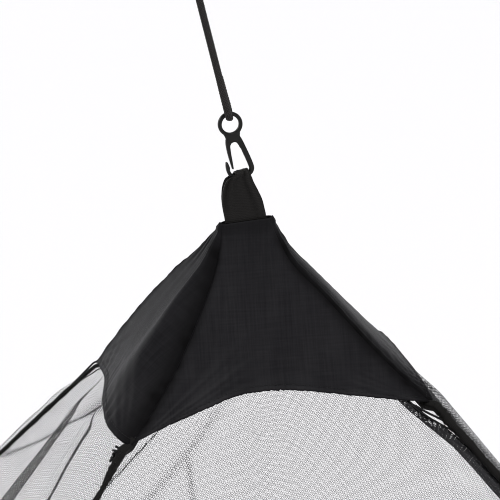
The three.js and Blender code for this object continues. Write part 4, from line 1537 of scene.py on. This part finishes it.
def build_strands(index):
    blocks = []
    for strand in picked(STRANDS, "corner", index):
        across = plane_of(PANELS[strand["panel"]])[0]
        distance = np.linspace(TAPE_START / 2, strand["joins"], STRAND_STEPS)
        under = TAPE_UNDER * (1 - ease(distance, *STRAND_INSIDE))
        apart = across * strand["along"] + corner_outward(index) * (strand["out"] - under)[:, None]
        joining = ease(distance, 0.0, strand["joins"])[:, None]
        path = mix(seam_line(index, distance) + apart, tape_line(index, distance), joining)
        blocks.append(rod(path, strand["radius"], STRAND_SIDES, across))
    return blocks


def build_frays(index):
    blocks = []
    share = np.linspace(0, 1, FRAY_STEPS)[:, None]
    for fray in picked(FRAYS, "corner", index):
        draw = np.random.default_rng(fray["seed"])
        for _ in range(fray["count"]):
            start = draw.uniform(FRAY_START, fray["reach"]) * np.array([1.0, TAPE_NEXT])
            base = tape_line(index, start)
            way = unit(base[1] - base[0])
            turn = draw.uniform(-fray["spread"], fray["spread"])
            side = unit(np.cross(way, corner_outward(index)))
            away = side * math.cos(turn) + np.cross(side, way) * math.sin(turn)
            bend = way * draw.uniform(*FRAY_LEAN) + side * draw.uniform(*FRAY_SWAY)
            reach = fray["length"] * draw.uniform(*FRAY_LENGTHS)
            root = base[0] + away * tape_radius(index, start[:1]) * FRAY_ROOT
            path = root + away * reach * share + bend * reach * share**2
            blocks.append(rod(path, fray["radius"], FRAY_SIDES, np.cross(away, bend)))
    return blocks


def build_tape(index):
    corner = CORNERS[index]
    name = f"tape_{corner['name']}"
    end = seam_length(corner)
    distance = mix(TAPE_START, end, crowded(TAPE_ROWS))
    path = tape_line(index, distance)
    side, out = frames_along(path, np.cross(base_corner(corner) - cap_corner(corner), UP))
    turn = np.linspace(0, TAPE_TURNS, TAPE_COLUMNS)[None, :]
    down = distance[:, None]
    lump = sum(wander(down, turn * wave["round"], wave["size"], index + wave["seed"]) for wave in TAPE_WAVES)
    radius = tape_radius(index, down) * (1 + TAPE_LUMP * lump * ease(down, *TAPE_LUMP_RISE))
    radius = radius * (1 - TAPE_TIGHTEN * turn / TAPE_TURNS)
    angle = math.tau * (turn + down / TAPE_TWIST)[..., None]
    grid = path[:, None] + (side[:, None] * np.cos(angle) + out[:, None] * np.sin(angle)) * radius[..., None]
    strip = TAPE_TURNS * math.tau * (1 - TAPE_TIGHTEN / 2) * TAPES[index]["foot"]
    uv = np.stack(np.broadcast_arrays(turn / TAPE_TURNS * strip, down), axis=-1)
    faces = grid_faces(TAPE_ROWS, TAPE_COLUMNS)[:, ::-1].tolist()
    piece = new_piece(f"{name}_roll", grid, faces, TAPE, "tape", name, uv)
    loose = new_piece(f"{name}_loose", *joined(build_strands(index) + build_frays(index)), THREAD, "tape")
    strip * TAPE_SPARE


for index in range(len(CORNERS)):
    build_tape(index)

# Stage: a wide pale floor under the tent, soft light from above and a weaker one from behind on the left

FLOOR_GAP = 0.004
FLOOR_SIZE = 120.0
# Lamps far away: where each one stands as seen from the tent, its strength, and how wide it looks in degrees
LAMPS = table(
    "name stands strength width",
    ("key", (0.10, -0.38, 0.92), 3.0, 40),
    ("side", (-0.66, 0.69, 0.29), 0.75, 24),
)
# The sky's strength overhead and along the horizon, and the heights between which it fades
SKY_STRENGTH = 0.10
HORIZON_STRENGTH = 0.9
HORIZON_FADE = (0.12, 0.20)


def build_floor():
    material = new_material("floor", Base_Color=FLOOR_COLOUR, Roughness=0.9, Specular_IOR_Level=0.1)[0]
    level = cad_box[0].z - FLOOR_GAP
    reach = FLOOR_SIZE / 2
    corners = [(-reach, -reach, level), (reach, -reach, level), (reach, reach, level), (-reach, reach, level)]
    mesh = bpy.data.meshes.new("floor")
    mesh.from_pydata(corners, [], [(0, 1, 2, 3)])
    mesh.materials.append(material)
    new_object("floor", mesh)


def build_light():
    for lamp in LAMPS:
        sun = new_object(lamp["name"], bpy.data.lights.new(lamp["name"], "SUN"))
        sun.data.energy = lamp["strength"]
        sun.data.angle = math.radians(lamp["width"])
        sun.rotation_mode = "QUATERNION"
        sun.rotation_quaternion = Vector(lamp["stands"]).to_track_quat("Z", "Y")


def build_sky():
    world = bpy.data.worlds.new("studio")
    world.use_nodes = True
    tree = world.node_tree
    background = next(node for node in tree.nodes if node.type == "BACKGROUND")
    background.inputs["Color"].default_value = (1.0, 1.0, 1.0, 1.0)
    height = Value(tree, "ShaderNodeTexCoord", output="Generated").dot((0.0, 0.0, 1.0))
    feed(background, Strength=height.remapped(*HORIZON_FADE, HORIZON_STRENGTH, SKY_STRENGTH))
    bpy.context.scene.world = world


build_floor()
build_light()
build_sky()

scene = bpy.context.scene
scene.view_settings.view_transform = "Standard"
scene.cycles.transparent_max_bounces = 48
scene.cycles.filter_width = 1.0
